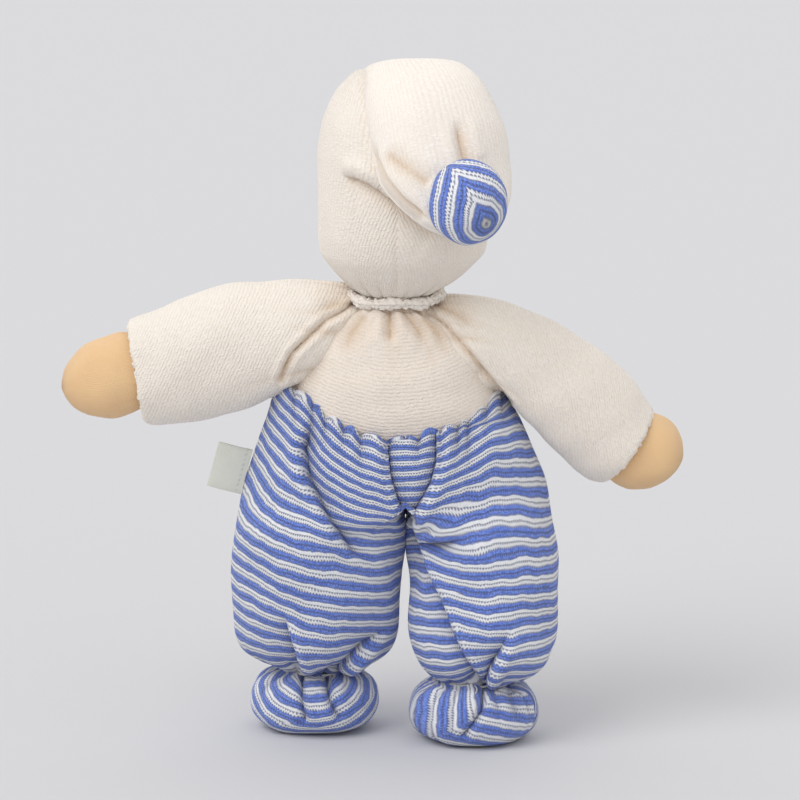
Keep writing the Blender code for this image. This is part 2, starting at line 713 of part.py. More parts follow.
def build_leg(side, pivot):
    rings = leg_sections(side)
    soft_cover(side + "_trouser_leg", rings, LIMB_SIDES, KNIT_THICK, "striped_knit", pivot)
    wool = filling(side + "_leg_stuffing", rings, LIMB_SIDES, KNIT_THICK, pivot)
    seat = ball_mesh(side + "_ankle_seat", (ANKLE_RADIUS + SWING_GAP,) * 3, CUTTER_SEGMENTS)
    place = (ANKLE_SHIFT_X[side], 0.0, -LEG_LENGTH)
    cut(add_cutter(side + "_ankle_seat", seat, pivot, place), wool)


def foot_sections(height):
    """Sections of the foot from its gathered neck down to the floor, from the ankle's middle."""
    sections = []
    for drop, share in zip(FOOT_DROP_SHARES, FOOT_SWELL_SHARES):
        half_width = swollen(FOOT_NECK_RADIUS, FOOT_HALF_WIDTH, share, SOLE_RADIUS)
        half_depth = swollen(FOOT_NECK_RADIUS, FOOT_HALF_DEPTH, share, SOLE_RADIUS)
        level = -FOOT_NECK_DROP - drop * (height + SOLE_CUT - FOOT_NECK_DROP)
        sections.append(section(level, half_width, half_depth))
    level, across, deep = sections[-1]
    return sections + [(level, across / 2.0, deep / 2.0)]


def build_foot(side, pivot, height):
    rings = foot_sections(height)
    cover = soft_cover(
        side + "_foot", rings, LIMB_SIDES, KNIT_THICK, "striped_knit", pivot, last_closed=True
    )
    floor_width = 2.0 * (FOOT_HALF_WIDTH + CUT_OVERRUN)
    floor_size = (floor_width, floor_width, CUT_OVERRUN)
    floor = box_mesh(side + "_floor", floor_size)
    place = (0.0, 0.0, -height - CUT_OVERRUN / 2.0)
    cut(add_cutter(side + "_floor", floor, pivot, place), cover)

    wool_rings = []
    for degrees in FOOT_TOP_ANGLES_DEG:
        angle = math.radians(degrees)
        radius = ANKLE_RADIUS * math.cos(angle)
        wool_rings.append(section(ANKLE_RADIUS * math.sin(angle), radius, radius))
    inner = inset(smoothed(rings)[1:], KNIT_THICK + LAYER_GAP)
    inner = [(middle, across, deep) for middle, across, deep in inner if middle.z > KNIT_THICK - height]
    bottom, across, deep = inset(smoothed(rings), KNIT_THICK + LAYER_GAP)[-2]
    lift = Vector((0.0, 0.0, KNIT_THICK + 2.0 * LAYER_GAP))
    wool_rings += inner + [(bottom + lift, across, deep)]
    name = side + "_foot_stuffing"
    add_piece(name, cage_mesh(name, wool_rings, LIMB_SIDES, True, True), "wool", pivot)
    tie = FOOT_NECK_RADIUS + LAYER_GAP + THREAD_RADIUS
    drop = FOOT_NECK_DROP + THREAD_RADIUS
    thread_ring(side + "_ankle_thread", tie, tie, (0.0, 0.0, -drop), pivot)


def build_doll():
    root = make_pivot("doll", (OUTLINE_SHIFT_X, OUTLINE_SHIFT_Y, 0.0), None)
    build_trunk(root)

    neck = make_pivot("neck_nod", (0.0, 0.0, NECK_Z), root)
    build_neck(neck)
    head = make_pivot("head_turn", (0.0, 0.0, 0.0), neck)
    middle = make_pivot("head_middle", (HEAD_SHIFT_X, 0.0, HEAD_RISE), head)
    build_head(middle)
    fold = Vector((0.0, 0.0, HOOD_HALF_HEIGHT + SWING_GAP + TAIL_HALF_THICK))
    build_tail(make_pivot("cap_tail_lift", fold, middle), fold)

    for side, sign in SIDES.items():
        turn = math.radians(ARM_BELOW_LEVEL_DEG[side] - 90.0) * sign
        place = (sign * SHOULDER_SPREAD, 0.0, SHOULDER_Z)
        arm = make_pivot(side + "_shoulder", place, root, (0.0, turn, 0.0))
        build_arm(side, arm)
        wrist = make_pivot(side + "_wrist", (0.0, 0.0, WRIST_INSET - ARM_LENGTH[side]), arm)
        build_hand(side, wrist)

        middle_x = LEG_PARTING_X + sign * (LEG_PARTING_GAP / 2.0 + LEG_HALF_WIDTH[side])
        swing = math.radians(-LEG_SWING_DEG[side])
        hip = make_pivot(side + "_hip", (middle_x - NECK_X, 0.0, HIP_Z), root, (swing, 0.0, 0.0))
        build_leg(side, hip)
        place = (ANKLE_SHIFT_X[side], 0.0, -LEG_LENGTH)
        ankle = make_pivot(side + "_ankle", place, hip, (-swing, 0.0, 0.0))
        build_foot(side, ankle, HIP_Z - LEG_LENGTH * math.cos(swing))
        if side == "left":
            lean = math.radians(-LABEL_LEAN_DEG)
            seam = make_pivot("label_flap", label_place(), hip, (0.0, lean, 0.0))
            build_label(seam)


clear_scene()
DOLL = make_collection("waldorf_doll")
CUTTERS = make_collection("cutters")
MATERIALS = {name: make_material(name) for name in COLOURS}
build_doll()
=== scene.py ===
"""The doll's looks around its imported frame: cloth, stuffing folds, threads, light and camera."""

import math

import bpy
import numpy as np
from mathutils import Euler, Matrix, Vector


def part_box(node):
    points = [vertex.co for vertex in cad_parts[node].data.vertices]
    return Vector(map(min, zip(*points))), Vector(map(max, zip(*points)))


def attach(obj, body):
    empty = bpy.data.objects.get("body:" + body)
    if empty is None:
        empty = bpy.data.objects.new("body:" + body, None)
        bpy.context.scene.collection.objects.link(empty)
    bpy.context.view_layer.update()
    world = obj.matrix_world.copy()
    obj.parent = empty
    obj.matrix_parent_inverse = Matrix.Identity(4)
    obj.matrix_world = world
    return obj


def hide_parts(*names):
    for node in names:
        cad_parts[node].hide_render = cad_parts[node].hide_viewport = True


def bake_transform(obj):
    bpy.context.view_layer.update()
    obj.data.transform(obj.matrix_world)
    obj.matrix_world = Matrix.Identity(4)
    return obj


# Tables of places and folds are in millimetres, and lengths with a name of their own in metres
MM = 0.001
FULL_TURN = 2.0 * math.pi
MIDDLE_Y = -18.6
BEHIND = [0, 2]

# Camera and studio
AIM = (-0.0122, -0.0186, 0.1475)
CAMERA_DISTANCE = 3.20
CAMERA_RISE_DEG = 12.0
SENSOR_WIDTH = 36.0
FRAME_WIDTH = 0.3452
FLOOR_REACH = 6.0
FLOOR_RELIEF = 0.00005
FLOOR_COLOUR = (0.615, 0.615, 0.63)
FLOOR_SPECK = (0.60, 0.60, 0.62)
BACKDROP_COLOUR = (0.69, 0.69, 0.70)
WORLD_STRENGTH = 0.74
SUNS = (
    ("key", (0.72, 0.66, 1.0), 1.25, 42.0),
    ("fill", (-0.8, 0.8, 0.5), 0.22, 90.0),
    ("front", (0.1, -1.0, 0.7), 0.45, 90.0),
)

# Cloth: the pitch of its ribs, stitches, rows and stripes, and how far they stray
RIB_PITCH = 0.00165
LOOP_PITCH = 0.0011
RIB_DRIFT = 0.0018
RIB_WAVER = 0.0016
STRIPE_PITCH = 0.0070
ROW_PITCH = 0.00175
ROW_ROUNDING = 0.0008
BLUE_GROOVE = 0.0005
WHITE_GROOVE = 0.0007
STITCH_PITCH = 0.00105
STITCH_ARCH = 0.0009
HOLE_RIM = (0.00056, 0.00018)
KNIT_WAVER = 0.0016
KNIT_RELIEF = 0.0006
WALE_PITCH = 0.00072
JERSEY_ROW_PITCH = 0.0006
JERSEY_RELIEF = 0.00030
THREAD_PITCH = 0.00042
THREAD_RELIEF = 0.0002
WEAVE_PITCH = 0.0005
WEAVE_RELIEF = 0.00015
CREAM = (0.92, 0.86, 0.785)
CREAM_PALE = (0.94, 0.89, 0.83)
# A warmer cream for the torso, also darkened as painted shade for the torso lying deeper in than hood and sleeves
CREAM_WARM_SHADED = (0.87, 0.79, 0.71)
# Dark warm cream between the ribs and loops, and also the painted shade in folds, creases and gathers
CREAM_GROOVE_AND_SHADE = (0.62, 0.43, 0.26)
CREAM_WORN = (0.95, 0.87, 0.78)
BLUE = (0.115, 0.205, 0.70)
BLUE_FUZZ = (0.27, 0.39, 0.88)
BLUE_DEEP = (0.045, 0.085, 0.42)
WHITE = (0.90, 0.91, 0.94)
WHITE_FUZZ = (0.74, 0.76, 0.86)
WHITE_DEEP = (0.55, 0.57, 0.66)
HOLE_COLOUR = (0.15, 0.17, 0.33)
KNIT_SHADE = (0.07, 0.09, 0.22)
SKIN = (0.88, 0.60, 0.33)
SKIN_UNEVEN = (0.86, 0.55, 0.30)
# Darker skin between the stitches, and also the painted shade in the hands' pleats
SKIN_GROOVE_AND_SHADE = (0.78, 0.46, 0.22)
SKIN_SHEEN = (1.0, 0.85, 0.7)
BLUSH = (0.84, 0.36, 0.24)
EYE_BLUE = (0.09, 0.16, 0.36)
MOUTH_RED = (0.62, 0.16, 0.13)
COTTON_WHITE = (0.80, 0.79, 0.75)
TAPE_WHITE = (0.72, 0.73, 0.66)
TAPE_YELLOWED = (0.66, 0.66, 0.57)
TAPE_GROOVE = (0.50, 0.50, 0.44)
TAPE_STITCH = (0.52, 0.52, 0.46)

# The terry of each part: the fields across and along its ribs, its colour and its relief
TERRIES = {
    "hood": ("cloth_around", "cloth_along", CREAM, 0.00033),
    "tail": ("cloth_around", "cloth_along", CREAM_PALE, 0.00021),
    "sleeve": ("cloth_along", "cloth_around", CREAM, 0.00030),
    # The body's cream is darker than the others as painted shade
    "body": ("cloth_along", "cloth_around", CREAM_WARM_SHADED, 0.00030),
}

# Rows and columns of the points of each piece
GRIDS = {
    "hood": (170, 240),
    "face": (120, 180),
    "tail": (150, 170),
    "tip": (80, 120),
    "stitches": (14, 48),
    "torso": (160, 260),
    "roll": (220, 30),
    "sleeve": (140, 160),
    "hand": (70, 100),
    "trouser": (230, 330),
    "foot": (90, 150),
    "label": (41, 30),
}

# The slow unevenness of each stuffed piece: its height and width, and its seed
UNEVEN = {
    "hood": (0.0004, 0.030, 3),
    "face": (0.00025, 0.03, 33),
    "tail": (0.0006, 0.034, 8),
    "tip": (0.0003, 0.012, 4),
    "torso": (0.0005, 0.026, 9),
    "left_sleeve": (0.0006, 0.028, 12),
    "right_sleeve": (0.0006, 0.028, 13),
    "hand": (0.0003, 0.020, 15),
    "trouser": (0.0009, 0.034, 17),
    "foot": (0.0004, 0.022, 19),
}
UNEVEN_WAVES = 7
UNEVEN_PEAK = 3.2

# Random pleats about a drawn thread: its row, their count, depth, reach and width, a seed, least radius
GATHERS = {
    "hood": (153, 22, 1.3, 9.0, 1.8, 11, 14.0),
    "tail": (142, 11, 1.6, 14.0, 2.4, 5, 6.0),
    "torso": (30, 20, 1.5, 15.0, 2.0, 21, 15.0),
    "sleeve": (18, 13, 1.2, 16.0, 2.6, 31, 16.0),
    "hand": (12, 14, 0.5, 8.0, 1.6, 6, 12.0),
    "left_trouser": (226, 13, 2.2, 12.0, 2.4, 41, 14.0),
    "right_trouser": (226, 13, 2.2, 12.0, 2.4, 44, 14.0),
    "left_foot": (14, 15, 1.5, 9.0, 1.6, 61, 14.0),
    "right_foot": (14, 15, 1.5, 9.0, 1.6, 63, 14.0),
}

# How a fold falls off: its edge, lip, swell and shade, and how far from it the stripes lean and slip
FOLD_CORE = 0.8
LIP_PLACE = (-0.9, 1.1)
SWELL_PLACE = (3.0, 3.2)
SHADE_REACH = 3.4
SLIP_WIDTH = 0.5
SLIP_REACH = 10.0
TILT_REACH = 11.0
LEAN_REACH = 34.0
LEAN_END_SHARE = 0.62
SHOULDER_SHARES = (2.4, 1.3)
CREASE_LIP_SHARE = 1.1
SEEN_SLANT = 0.35
SHARP_DEG = 62.0

# Stations of the hood from the crown down: height, middle x, middle y, half width, half depth
HOOD = (
    (293, -14.5, -21, 10, 4),
    (291, -14.3, -20.8, 19, 8),
    (285.5, -14, -20, 27, 17.5),
    (278, -13.8, -19, 31.6, 26),
    (268, -13.7, MIDDLE_Y, 35, 33),
    (254, -13.7, MIDDLE_Y, 36.9, 37.4),
    (238, -13.7, MIDDLE_Y, 37, 38.6),
    (224, -13.7, MIDDLE_Y, 36.9, 37.6),
    (214, -13.5, MIDDLE_Y, 35.6, 34.5),
    (207, -12.6, MIDDLE_Y, 30.6, 29.2),
    (201.5, -12, MIDDLE_Y, 25.2, 24),
    (197.8, -11.4, MIDDLE_Y, 20.6, 20),
    (195.6, -11, MIDDLE_Y, 17.2, 17),
    (195, -10.8, MIDDLE_Y, 14.8, 14.8),
    (196.2, -10.6, MIDDLE_Y, 12.8, 12.8),
    (199.5, -10.6, MIDDLE_Y, 11.5, 11.5),
)
HEAD_HUG_RADIUS = 0.044
BESIDE_TAIL = ((6, 292), (4.4, 272), (2.2, 258), (-1, 248))
BESIDE_TAIL_SWELL = 0.0026
BESIDE_TAIL_REACH = 0.007

# The seam at the back of the hood, and the ribs that fan out from it
SEAM_X = -10.6
SEAM_COLUMN = 58
SEAM_WIDTH = 0.9
SEAM_DEPTH = 0.0005
FAN_REACH = 0.032
FAN_HEIGHT = 225.0
FAN_SHARE = 0.42
FAN_LIMITS = (-14.0, 12.0)

# The face: the opening's middle and half sizes, then nose and cheek as across, up, wide, high
FACE_MIDDLE = (-13.7, 236.3)
FACE_HALF = (25.0, 27.0)
FACE_STATIONS = slice(1, 11)
FACE_HEIGHT_SHARE = 0.95
FACE_WIDTH_SHARE = 0.93
FACE_DEPTH_SHARE = 0.955
FACE_BACK_Y = -30.0
OPENING_SINK = 0.006
OPENING_RIM = 0.0012
NOSE = (0.0, -2.5, 2.6, 2.4)
NOSE_HEIGHT = 0.0015
CHEEK = (13.5, -8.5, 5.0, 4.6)
PATCH_HEIGHT = 0.0007
PATCH_GROOVE = 0.00012
SMILE_RISE = 0.0009

# Spine of the cap's tail: x, y, z, half width, half thickness, turn about the upright
TAIL = (
    (-14.5, -25, 270, 20, 8, 0),
    (-15.5, -25.5, 279.5, 22, 8.2, 0),
    (-17.5, -22.5, 287.6, 22.5, 7.4, 0),
    (-19, -15, 291.4, 22.5, 6.2, 2),
    (-21.5, -5.5, 289.2, 24.5, 6.4, 5),
    (-24.5, 4.5, 282.3, 27.4, 6.8, 9),
    (-27, 13, 273, 29, 7.2, 13),
    (-29, 19, 262, 29.8, 7.6, 17),
    (-31.3, 23.5, 252, 29.6, 7.8, 21),
    (-34.8, 26.5, 243.5, 26.6, 7.8, 24),
    (-38.3, 29, 237, 20.5, 7.2, 26),
    (-41, 31, 233, 12, 5.6, 27),
    (-42.2, 32.5, 231, 4, 2.6, 27),
)
TAIL_BEND = ("head", "tail", (-0.0180, -0.0260, 0.2860), (-0.0200, -0.0070, 0.2900))

# The tip: its half sizes and pole, and where across, up and towards the camera its stripes centre and point
TIP_HALF = (0.0168, 0.0160, 0.0182)
TIP_POLE = (-0.12, 0.97, 0.16)
TIP_CENTRE = (-0.47, -0.56, 0.68)
TIP_POINT = (0.54, 0.84, 0.0)
TIP_STRIPE_RADIUS = 0.0164
TIP_STRIPE_START = 0.0006
TIP_STITCH_RADIUS = 0.011

# Stations of the torso: height, middle x, middle y, half width, half depth
TORSO = (
    (197.5, -10.4, MIDDLE_Y, 11, 11),
    (195.5, -10.3, MIDDLE_Y, 15.5, 15.2),
    (193.6, -10.2, MIDDLE_Y, 17.8, 17),
    (191.4, -10.1, MIDDLE_Y, 16.6, 16),
    (188.8, -10, MIDDLE_Y, 21, 18),
    (184, -10, MIDDLE_Y, 29.5, 21),
    (177, -10, MIDDLE_Y, 37, 24),
    (168, -10, MIDDLE_Y, 42, 26.5),
    (158, -10, MIDDLE_Y, 45, 28.3),
    (148, -10, MIDDLE_Y, 45.3, 28.8),
    (138, -10, MIDDLE_Y, 43.6, 27),
    (130, -10, MIDDLE_Y, 39, 24.6),
    (126, -10, MIDDLE_Y, 28, 17),
)
LEFT_RAGLAN = (
    (-1.3, 194.5), (5.7, 192), (12.8, 189), (18.9, 186.5), (23.6, 182.4), (29.3, 177), (33.8, 172.5),
    (36.6, 166.6), (39, 159.9),
)
RIGHT_RAGLAN = ((-15, 194), (-21.5, 190.2), (-31, 184.3), (-42.2, 171.8), (-50.8, 159.5), (-59.5, 149))

# The rolled edge at the neck: its middle, radius and thickness, and how ragged it is
ROLL_MIDDLE = (-10.0, MIDDLE_Y, 194.2)
ROLL_RADIUS = 17.9
ROLL_WIDTH_SHARE = 1.10
ROLL_THICKNESS = 2.0
ROLL_RAGGED = 0.42
ROLL_SWELLS = 0.4
ROLL_SAG = 1.2
ROLL_WAVES = 0.5
ROLL_LOOPS = 0.0025
ROLL_RIBS = 0.0146
ROLL_SEED = 12

# Stations of the sleeves and hands: top x and z, bottom x and z, half depth
LEFT_SLEEVE = (
    (2, 188, 24, 158, 12),
    (6, 196.2, 31, 152.5, 17.5),
    (12.5, 198.8, 37.5, 151, 20.2),
    (24, 199.8, 44, 148.8, 21.6),
    (38, 199.9, 51.5, 145.8, 22),
    (52.6, 199.4, 60.5, 142.8, 22),
    (68, 196.6, 72, 139.6, 21.6),
    (82, 192.2, 84, 137.9, 21.2),
    (93.5, 187.8, 92, 137.3, 20.6),
    (101.5, 184.3, 96, 137.9, 19.8),
    (104.8, 182.2, 97.6, 139.4, 18.9),
    (105, 180.6, 98, 140.8, 18),
    (102.5, 179.8, 95.5, 142.2, 17),
    (96, 179.6, 89.5, 143.6, 16.4),
)
RIGHT_SLEEVE = (
    (-17, 185, -39, 158, 14.6),
    (-24.5, 192.4, -48, 152.5, 18.6),
    (-32, 194, -55.5, 151.5, 20),
    (-44, 192.9, -60.5, 146.5, 20.8),
    (-57, 189.9, -66.3, 139.4, 21.8),
    (-72, 184.9, -73.8, 131.6, 22),
    (-87, 177, -82, 123.6, 22),
    (-100, 167.6, -89.5, 116.4, 21.4),
    (-111.5, 156.6, -95, 112.2, 20.6),
    (-119.2, 147.2, -99.4, 111.2, 19.6),
    (-121.8, 142.6, -102.6, 112.6, 18.6),
    (-121.6, 141, -103.4, 114, 17.6),
    (-118.5, 141.6, -101, 117, 16.8),
    (-112.5, 144, -95.5, 120.5, 16.2),
)
CUFF_RAGGED = (0.0005, 0.0003)
CUFF_SEED = 4
LEFT_HAND = (
    (88, 173, 86, 151, 11),
    (94, 176, 90.5, 148.4, 13.8),
    (101, 177, 96.5, 146, 14.7),
    (107.5, 177.2, 104, 142.2, 15.3),
    (115, 174.8, 112.5, 139.8, 15.6),
    (123.5, 172, 121, 140.9, 15),
    (129.8, 165.6, 127.8, 144.4, 12.6),
    (132.9, 160, 131.8, 149, 8.6),
    (133.8, 155.8, 133.7, 152.4, 3),
)
RIGHT_HAND = (
    (-104, 142, -90, 122, 11),
    (-111.5, 142.8, -96, 118.5, 13.6),
    (-118.4, 142.6, -101.5, 114.2, 14.6),
    (-123.8, 141.2, -106, 110.6, 15.2),
    (-128.8, 138.2, -112, 108.6, 15.4),
    (-132.4, 133.6, -118.5, 108.8, 14.6),
    (-134.2, 128.2, -125, 111, 12),
    (-134.5, 123.6, -130, 115, 8),
    (-134, 120.9, -132.6, 118.2, 3),
)

# Each arm: its sleeve, raglan seam and hand, and where the sleeve starts and ends to bend
ARMS = {
    "left": (LEFT_SLEEVE, LEFT_RAGLAN, LEFT_HAND, (0.022, -0.0186, 0.1755), (0.052, -0.0186, 0.170)),
    "right": (RIGHT_SLEEVE, RIGHT_RAGLAN, RIGHT_HAND, (-0.042, -0.0186, 0.1755), (-0.068, -0.0186, 0.158)),
}

# The seat of the trousers as one ring: height, middle x, half width, half depth
SEAT = (
    (156, -8.8, 48.4, 29.8),
    (148, -8.6, 51.8, 31.2),
    (140, -9.3, 55.2, 32.6),
    (130, -9.8, 59, 33),
    (120, -10, 62.4, 32.6),
    (112, -10, 64.7, 32),
    (100, -10, 66.8, 31.4),
    (80, -10, 68.8, 31),
    (20, -10, 68.8, 31),
)
MIDDLE_PLANE_X = -14.6
SEAT_TOP = 156.0
PARTING = (90.0, 112.0)
RIM_LIFT_FROM = 94.0

# The rim of the waist from left to right: x and height
WAIST_RIM = (
    (-64, 155.5),
    (-55, 153),
    (-50.5, 150.5),
    (-45, 146),
    (-36, 141.6),
    (-28, 139.6),
    (-13, 136.5),
    (-2, 137.5),
    (17.7, 144),
    (26.5, 150.5),
    (36, 155),
    (44, 155.5),
)

# The turned edge inside the rim, from its low end up: how far below the rim, and how far in
WAIST_HEM = ((10.0, 3.4), (6.0, 3.2), (2.5, 2.8), (0.6, 2.0), (-0.6, 0.8))

# Where the waist thread draws the cloth in, and how far each gather runs down
WAIST_GATHERS = (
    (33, 9), (25.4, 15), (19.9, 8), (12, 6), (4.6, 10), (-6, 12), (-20, 6), (-29.5, 14), (-37.1, 9),
    (-41.8, 15), (-49.5, 7), (-57, 9),
)
GATHER_WIDTH = 1.9
GATHER_PUFF = 1.3
GATHER_DEPTH = 2.6
GATHER_SLIP = 1.9
GATHER_DIP = 1.2

# Each leg: height, inner x, outer x, middle y, half depth
LEFT_LEG = (
    (156, -14.8, 36.9, MIDDLE_Y, 29.6),
    (120, -14.8, 52.4, MIDDLE_Y, 32.2),
    (98, -14.9, 57.4, -18.8, 31.4),
    (88, -14.4, 59.2, -20, 31.2),
    (77, -13.9, 60.4, -21.6, 31),
    (59, -13, 61.3, -24.2, 31.2),
    (46, -11.8, 60.2, -26.2, 31),
    (38, -9.4, 57.6, -27.2, 29.6),
    (32, -4.6, 52.4, -28, 26),
    (28.2, 2, 46.4, -28.4, 21.6),
    (26.4, 8.4, 41.2, -28.6, 17),
    (26, 11.6, 38.4, -28.6, 13.8),
    (27.4, 13.2, 36.8, -28.6, 12),
)
RIGHT_LEG = (
    (156, -14.4, -56.1, MIDDLE_Y, 29.6),
    (120, -14.4, -72.4, MIDDLE_Y, 32.2),
    (98, -14.3, -77.4, -18.4, 31.4),
    (88, -14.9, -78.9, -17.2, 31.2),
    (77, -15.4, -80, -15.6, 31),
    (59, -15.8, -81.2, -13, 31.2),
    (46, -16.8, -80.4, -11, 31),
    (38, -18.6, -78.2, -10, 29.6),
    (32, -22, -73.4, -9.2, 26),
    (28, -27, -67, -8.8, 21.6),
    (26.2, -30.2, -61.4, -8.6, 17),
    (25.8, -31.4, -57.4, -8.6, 13.8),
    (27.2, -32.4, -55.6, -8.6, 12),
)
LEGS = {"left": (LEFT_LEG, 0.0228), "right": (RIGHT_LEG, -0.0484)}
HIP_BEND_HEIGHTS = (0.122, 0.086)
STRIPES_FROM = 70.0

# The foot from its tied neck down: height, half width, half depth, about its ankle
FOOT = (
    (29.5, 11, 11),
    (27.6, 13.4, 13.4),
    (26, 15.2, 15.2),
    (24.6, 19.6, 19.4),
    (22, 24.2, 23.8),
    (17, 27.2, 26.8),
    (11.5, 28, 27.4),
    (6.5, 26.6, 26),
    (3, 23.4, 22.8),
    (0.9, 19.6, 19.2),
    (0.15, 16, 15.6),
    (0.1, 8, 8),
)
FOOT_CENTRE_Z = 14.0
FOOT_STRIPE_RADIUS = 0.0285
FOOT_STITCH_RADIUS = 0.020
FOOT_BAR_LENGTH = 0.0260
FLOOR_GAP = 0.0001
ANKLES = {"left": (25.0, -28.6), "right": (-44.0, -8.6)}
FOOT_POLES = {"left": (0.02, 0.62, 0.78), "right": (-0.25, 0.62, 0.74)}

# The ankle's thread: radius and height of its turns, its own radius, and the right one's loose end
ANKLE_TURN_RADIUS = 14.3
ANKLE_TURN_HEIGHT = 26.6
ANKLE_TURN_PLAY = 0.25
ANKLE_TURN_WAVE = 0.2
COTTON_RADIUS = 0.3
LOOSE_END = (
    (-44.6, 6.6, 26.8), (-45.4, 9.5, 25.9), (-44.4, 13, 23.6), (-44.8, 16.2, 20.4), (-44.2, 18.2, 17.2),
)

# The care label: where its sewn edge lies and how it is turned, its folded size and the gap in it
LABEL_PLACE = (53.99, -16.03, 116.32)
LABEL_TURN_DEG = (-8.28, -14.85, 2.14)
LABEL_LENGTH = 15.5
LABEL_HALF_HEIGHT = 10.5
LABEL_GAP = 0.35
LABEL_TUCK = 0.4
LABEL_BOW = 0.5
LABEL_SEAM = (2.2, 0.25)
LABEL_EDGE = 0.7

# How square the rings of the trunk and of the tail are, and the wandering of the stripes
TRUNK_POWER = 2.15
TAIL_POWER = 2.3
STRIPE_WANDERS = ((0.0007, 0.045, 71), (0.00035, 0.013, 72))

# Where the flat inner side of the seat's halves lies, and the least length of a normal beside it
PLANE_REACH = 0.0003
PLANE_FROM = 0.0975
LEAST_NORMAL = 0.2

# Creases along a line of x and z seen from behind, at the feet about the ankle
CREASES = {
    "tail": (
        dict(
            line=((-5, 264), (-13, 259), (-25, 252)),
            depth=1.7, width=2.6, bulge=0.35, fade=(0.2, 0.9),
        ),
        dict(
            line=((-36, 278), (-38.5, 268.5), (-41, 259)),
            depth=3.4, width=2.2, bulge=0.35, fade=(0.5, 0.95),
        ),
    ),
    "torso": (
        dict(
            line=((-6.9, 195), (-8, 187.3), (-7.9, 176)),
            depth=2.6, width=1.9, hollow=1, bulge=0.5, fade=(0.02, 0.7),
        ),
        dict(
            line=((-10.6, 194), (-14.3, 190), (-20, 183), (-24.5, 174)),
            depth=2.2, width=1.8, bulge=0.6, fade=(0.02, 0.6),
        ),
        dict(
            line=((3, 189), (9, 181), (13, 170)),
            depth=1, width=3, hollow=0.8, bulge=0.4, fade=(0.1, 0.4),
        ),
        dict(
            line=((-22, 189), (-29, 181), (-34, 170)),
            depth=1, width=3, hollow=0.8, bulge=0.4, fade=(0.1, 0.4),
        ),
    ),
    "left_sleeve": (
        dict(line=LEFT_RAGLAN, depth=2.6, width=1.2, bulge=0.4),
        dict(
            line=((4, 193), (14, 193.5), (26, 189)),
            depth=0.6, width=3, hollow=2.4, spread=4.5, fade=(0.1, 0.5),
        ),
    ),
    "right_sleeve": (
        dict(line=RIGHT_RAGLAN, depth=2.6, width=1.2, bulge=0.4),
        dict(
            line=((-24, 193), (-35, 190), (-47, 182)),
            depth=0.8, width=2.6, hollow=1.6, spread=4, fade=(0.1, 0.5),
        ),
    ),
    "left_foot": (
        dict(line=((5.5, 29), (6, 17), (4, 7)), depth=3.2, width=1.6, jump=3.4, lip=1, fade=(0, 0.85)),
        dict(
            line=((-5.5, 29), (-7.5, 18), (-12, 9)),
            depth=3.2, width=1.6, jump=-3.4, lip=-1, fade=(0, 0.85),
        ),
    ),
    "right_foot": (
        dict(line=((-4, 29), (-3, 19), (6, 6)), depth=3.4, width=1.6, lip=1.2, fade=(0, 0.9)),
        dict(line=((-14, 27), (-18, 18), (-20, 10)), depth=1.4, width=1.6, fade=(0, 0.6)),
    ),
}

# Folds, where the cloth on one side of such a line dives under the cloth on its other side
THIGH_LINE = (
    (25.5, 144), (28.5, 139), (31.5, 131.5), (28.7, 118.4), (23.3, 107.8), (14.5, 94.8), (7.9, 85.4), (-2, 79),
)
SHIN_LINE = (
    (-16.5, 96), (-20.7, 89.9), (-24, 79.6), (-30.6, 67.2), (-36, 53.5), (-41.5, 42.1), (-47, 31), (-49.5, 20),
)
LEFT_MIDDLE_LINE = ((-5.4, 140), (-6.9, 122), (-9.7, 111), (-14.6, 98))
RIGHT_MIDDLE_LINE = ((-28.9, 141), (-29.5, 127.4), (-26.8, 117.3), (-21.8, 108), (-16, 97.7))
LEFT_MIDDLE = dict(line=LEFT_MIDDLE_LINE, depth=4, tucked=5, lip=1.8, swell=1.6, jump=-2, side=-1)
RIGHT_MIDDLE = dict(line=RIGHT_MIDDLE_LINE, depth=4, tucked=5, lip=1.8, swell=2, jump=-2)
FOLDS = {
    "hood": (
        dict(
            line=((12, 251), (6.4, 252.2), (-1.4, 249), (-9.6, 243.3), (-16.5, 238.7), (-27, 232)),
            depth=4.4, tucked=7, lip=2.2, swell=2.4, fade=(0.1, 1),
        ),
    ),
    "tail": (
        dict(
            line=((-1.5, 268), (-2.8, 261), (-7, 253.5), (-13.6, 246), (-21.6, 240.3)),
            depth=1.8, tucked=7, lip=0.5, swell=0.9, fade=(0.3, 1),
        ),
    ),
    "torso": (
        dict(
            line=((25.5, 175), (29.2, 168.5), (32.4, 163.9), (36, 158)),
            depth=2.6, tucked=4, lip=1.2, swell=1, side=-1, fade=(0.2, 1),
        ),
    ),
    "left_trouser": (
        LEFT_MIDDLE,
        RIGHT_MIDDLE,
        dict(
            line=THIGH_LINE,
            depth=5.6, tucked=10, lip=1, swell=1.8, jump=-3, side=-1, fade=(0.16, 0.72),
        ),
        dict(
            line=((38.5, 60), (36, 50), (32.6, 41.4), (30.4, 31), (29, 22)),
            depth=6, tucked=9, lip=1.8, swell=1.6, jump=4, fade=(0.5, 1),
        ),
        dict(
            line=((-9, 51), (-2, 43), (6.8, 35), (13.4, 27.5), (18, 20)),
            depth=5, tucked=9, lip=1.8, swell=1.8, jump=4, fade=(0.45, 1),
        ),
    ),
    "right_trouser": (
        LEFT_MIDDLE,
        dict(RIGHT_MIDDLE, tilt=(0, 0.7)),
        dict(
            line=((-14.8, 97), (-19, 91.5), (-24, 90), (-31, 91), (-41, 94)),
            depth=3.6, tucked=5, lip=0.8, swell=2.2, jump=2, fade=(0.03, 0.55),
        ),
        dict(
            line=SHIN_LINE,
            depth=6, tucked=8, lip=2.2, swell=2, jump=3.6, tilt=(0, -0.7), fade=(0.1, 1),
        ),
        dict(
            line=((-60, 56), (-57, 46), (-52, 34), (-50, 20)),
            depth=6, tucked=9, lip=1.8, swell=1.8, jump=3.6, fade=(0.5, 1),
        ),
    ),
}


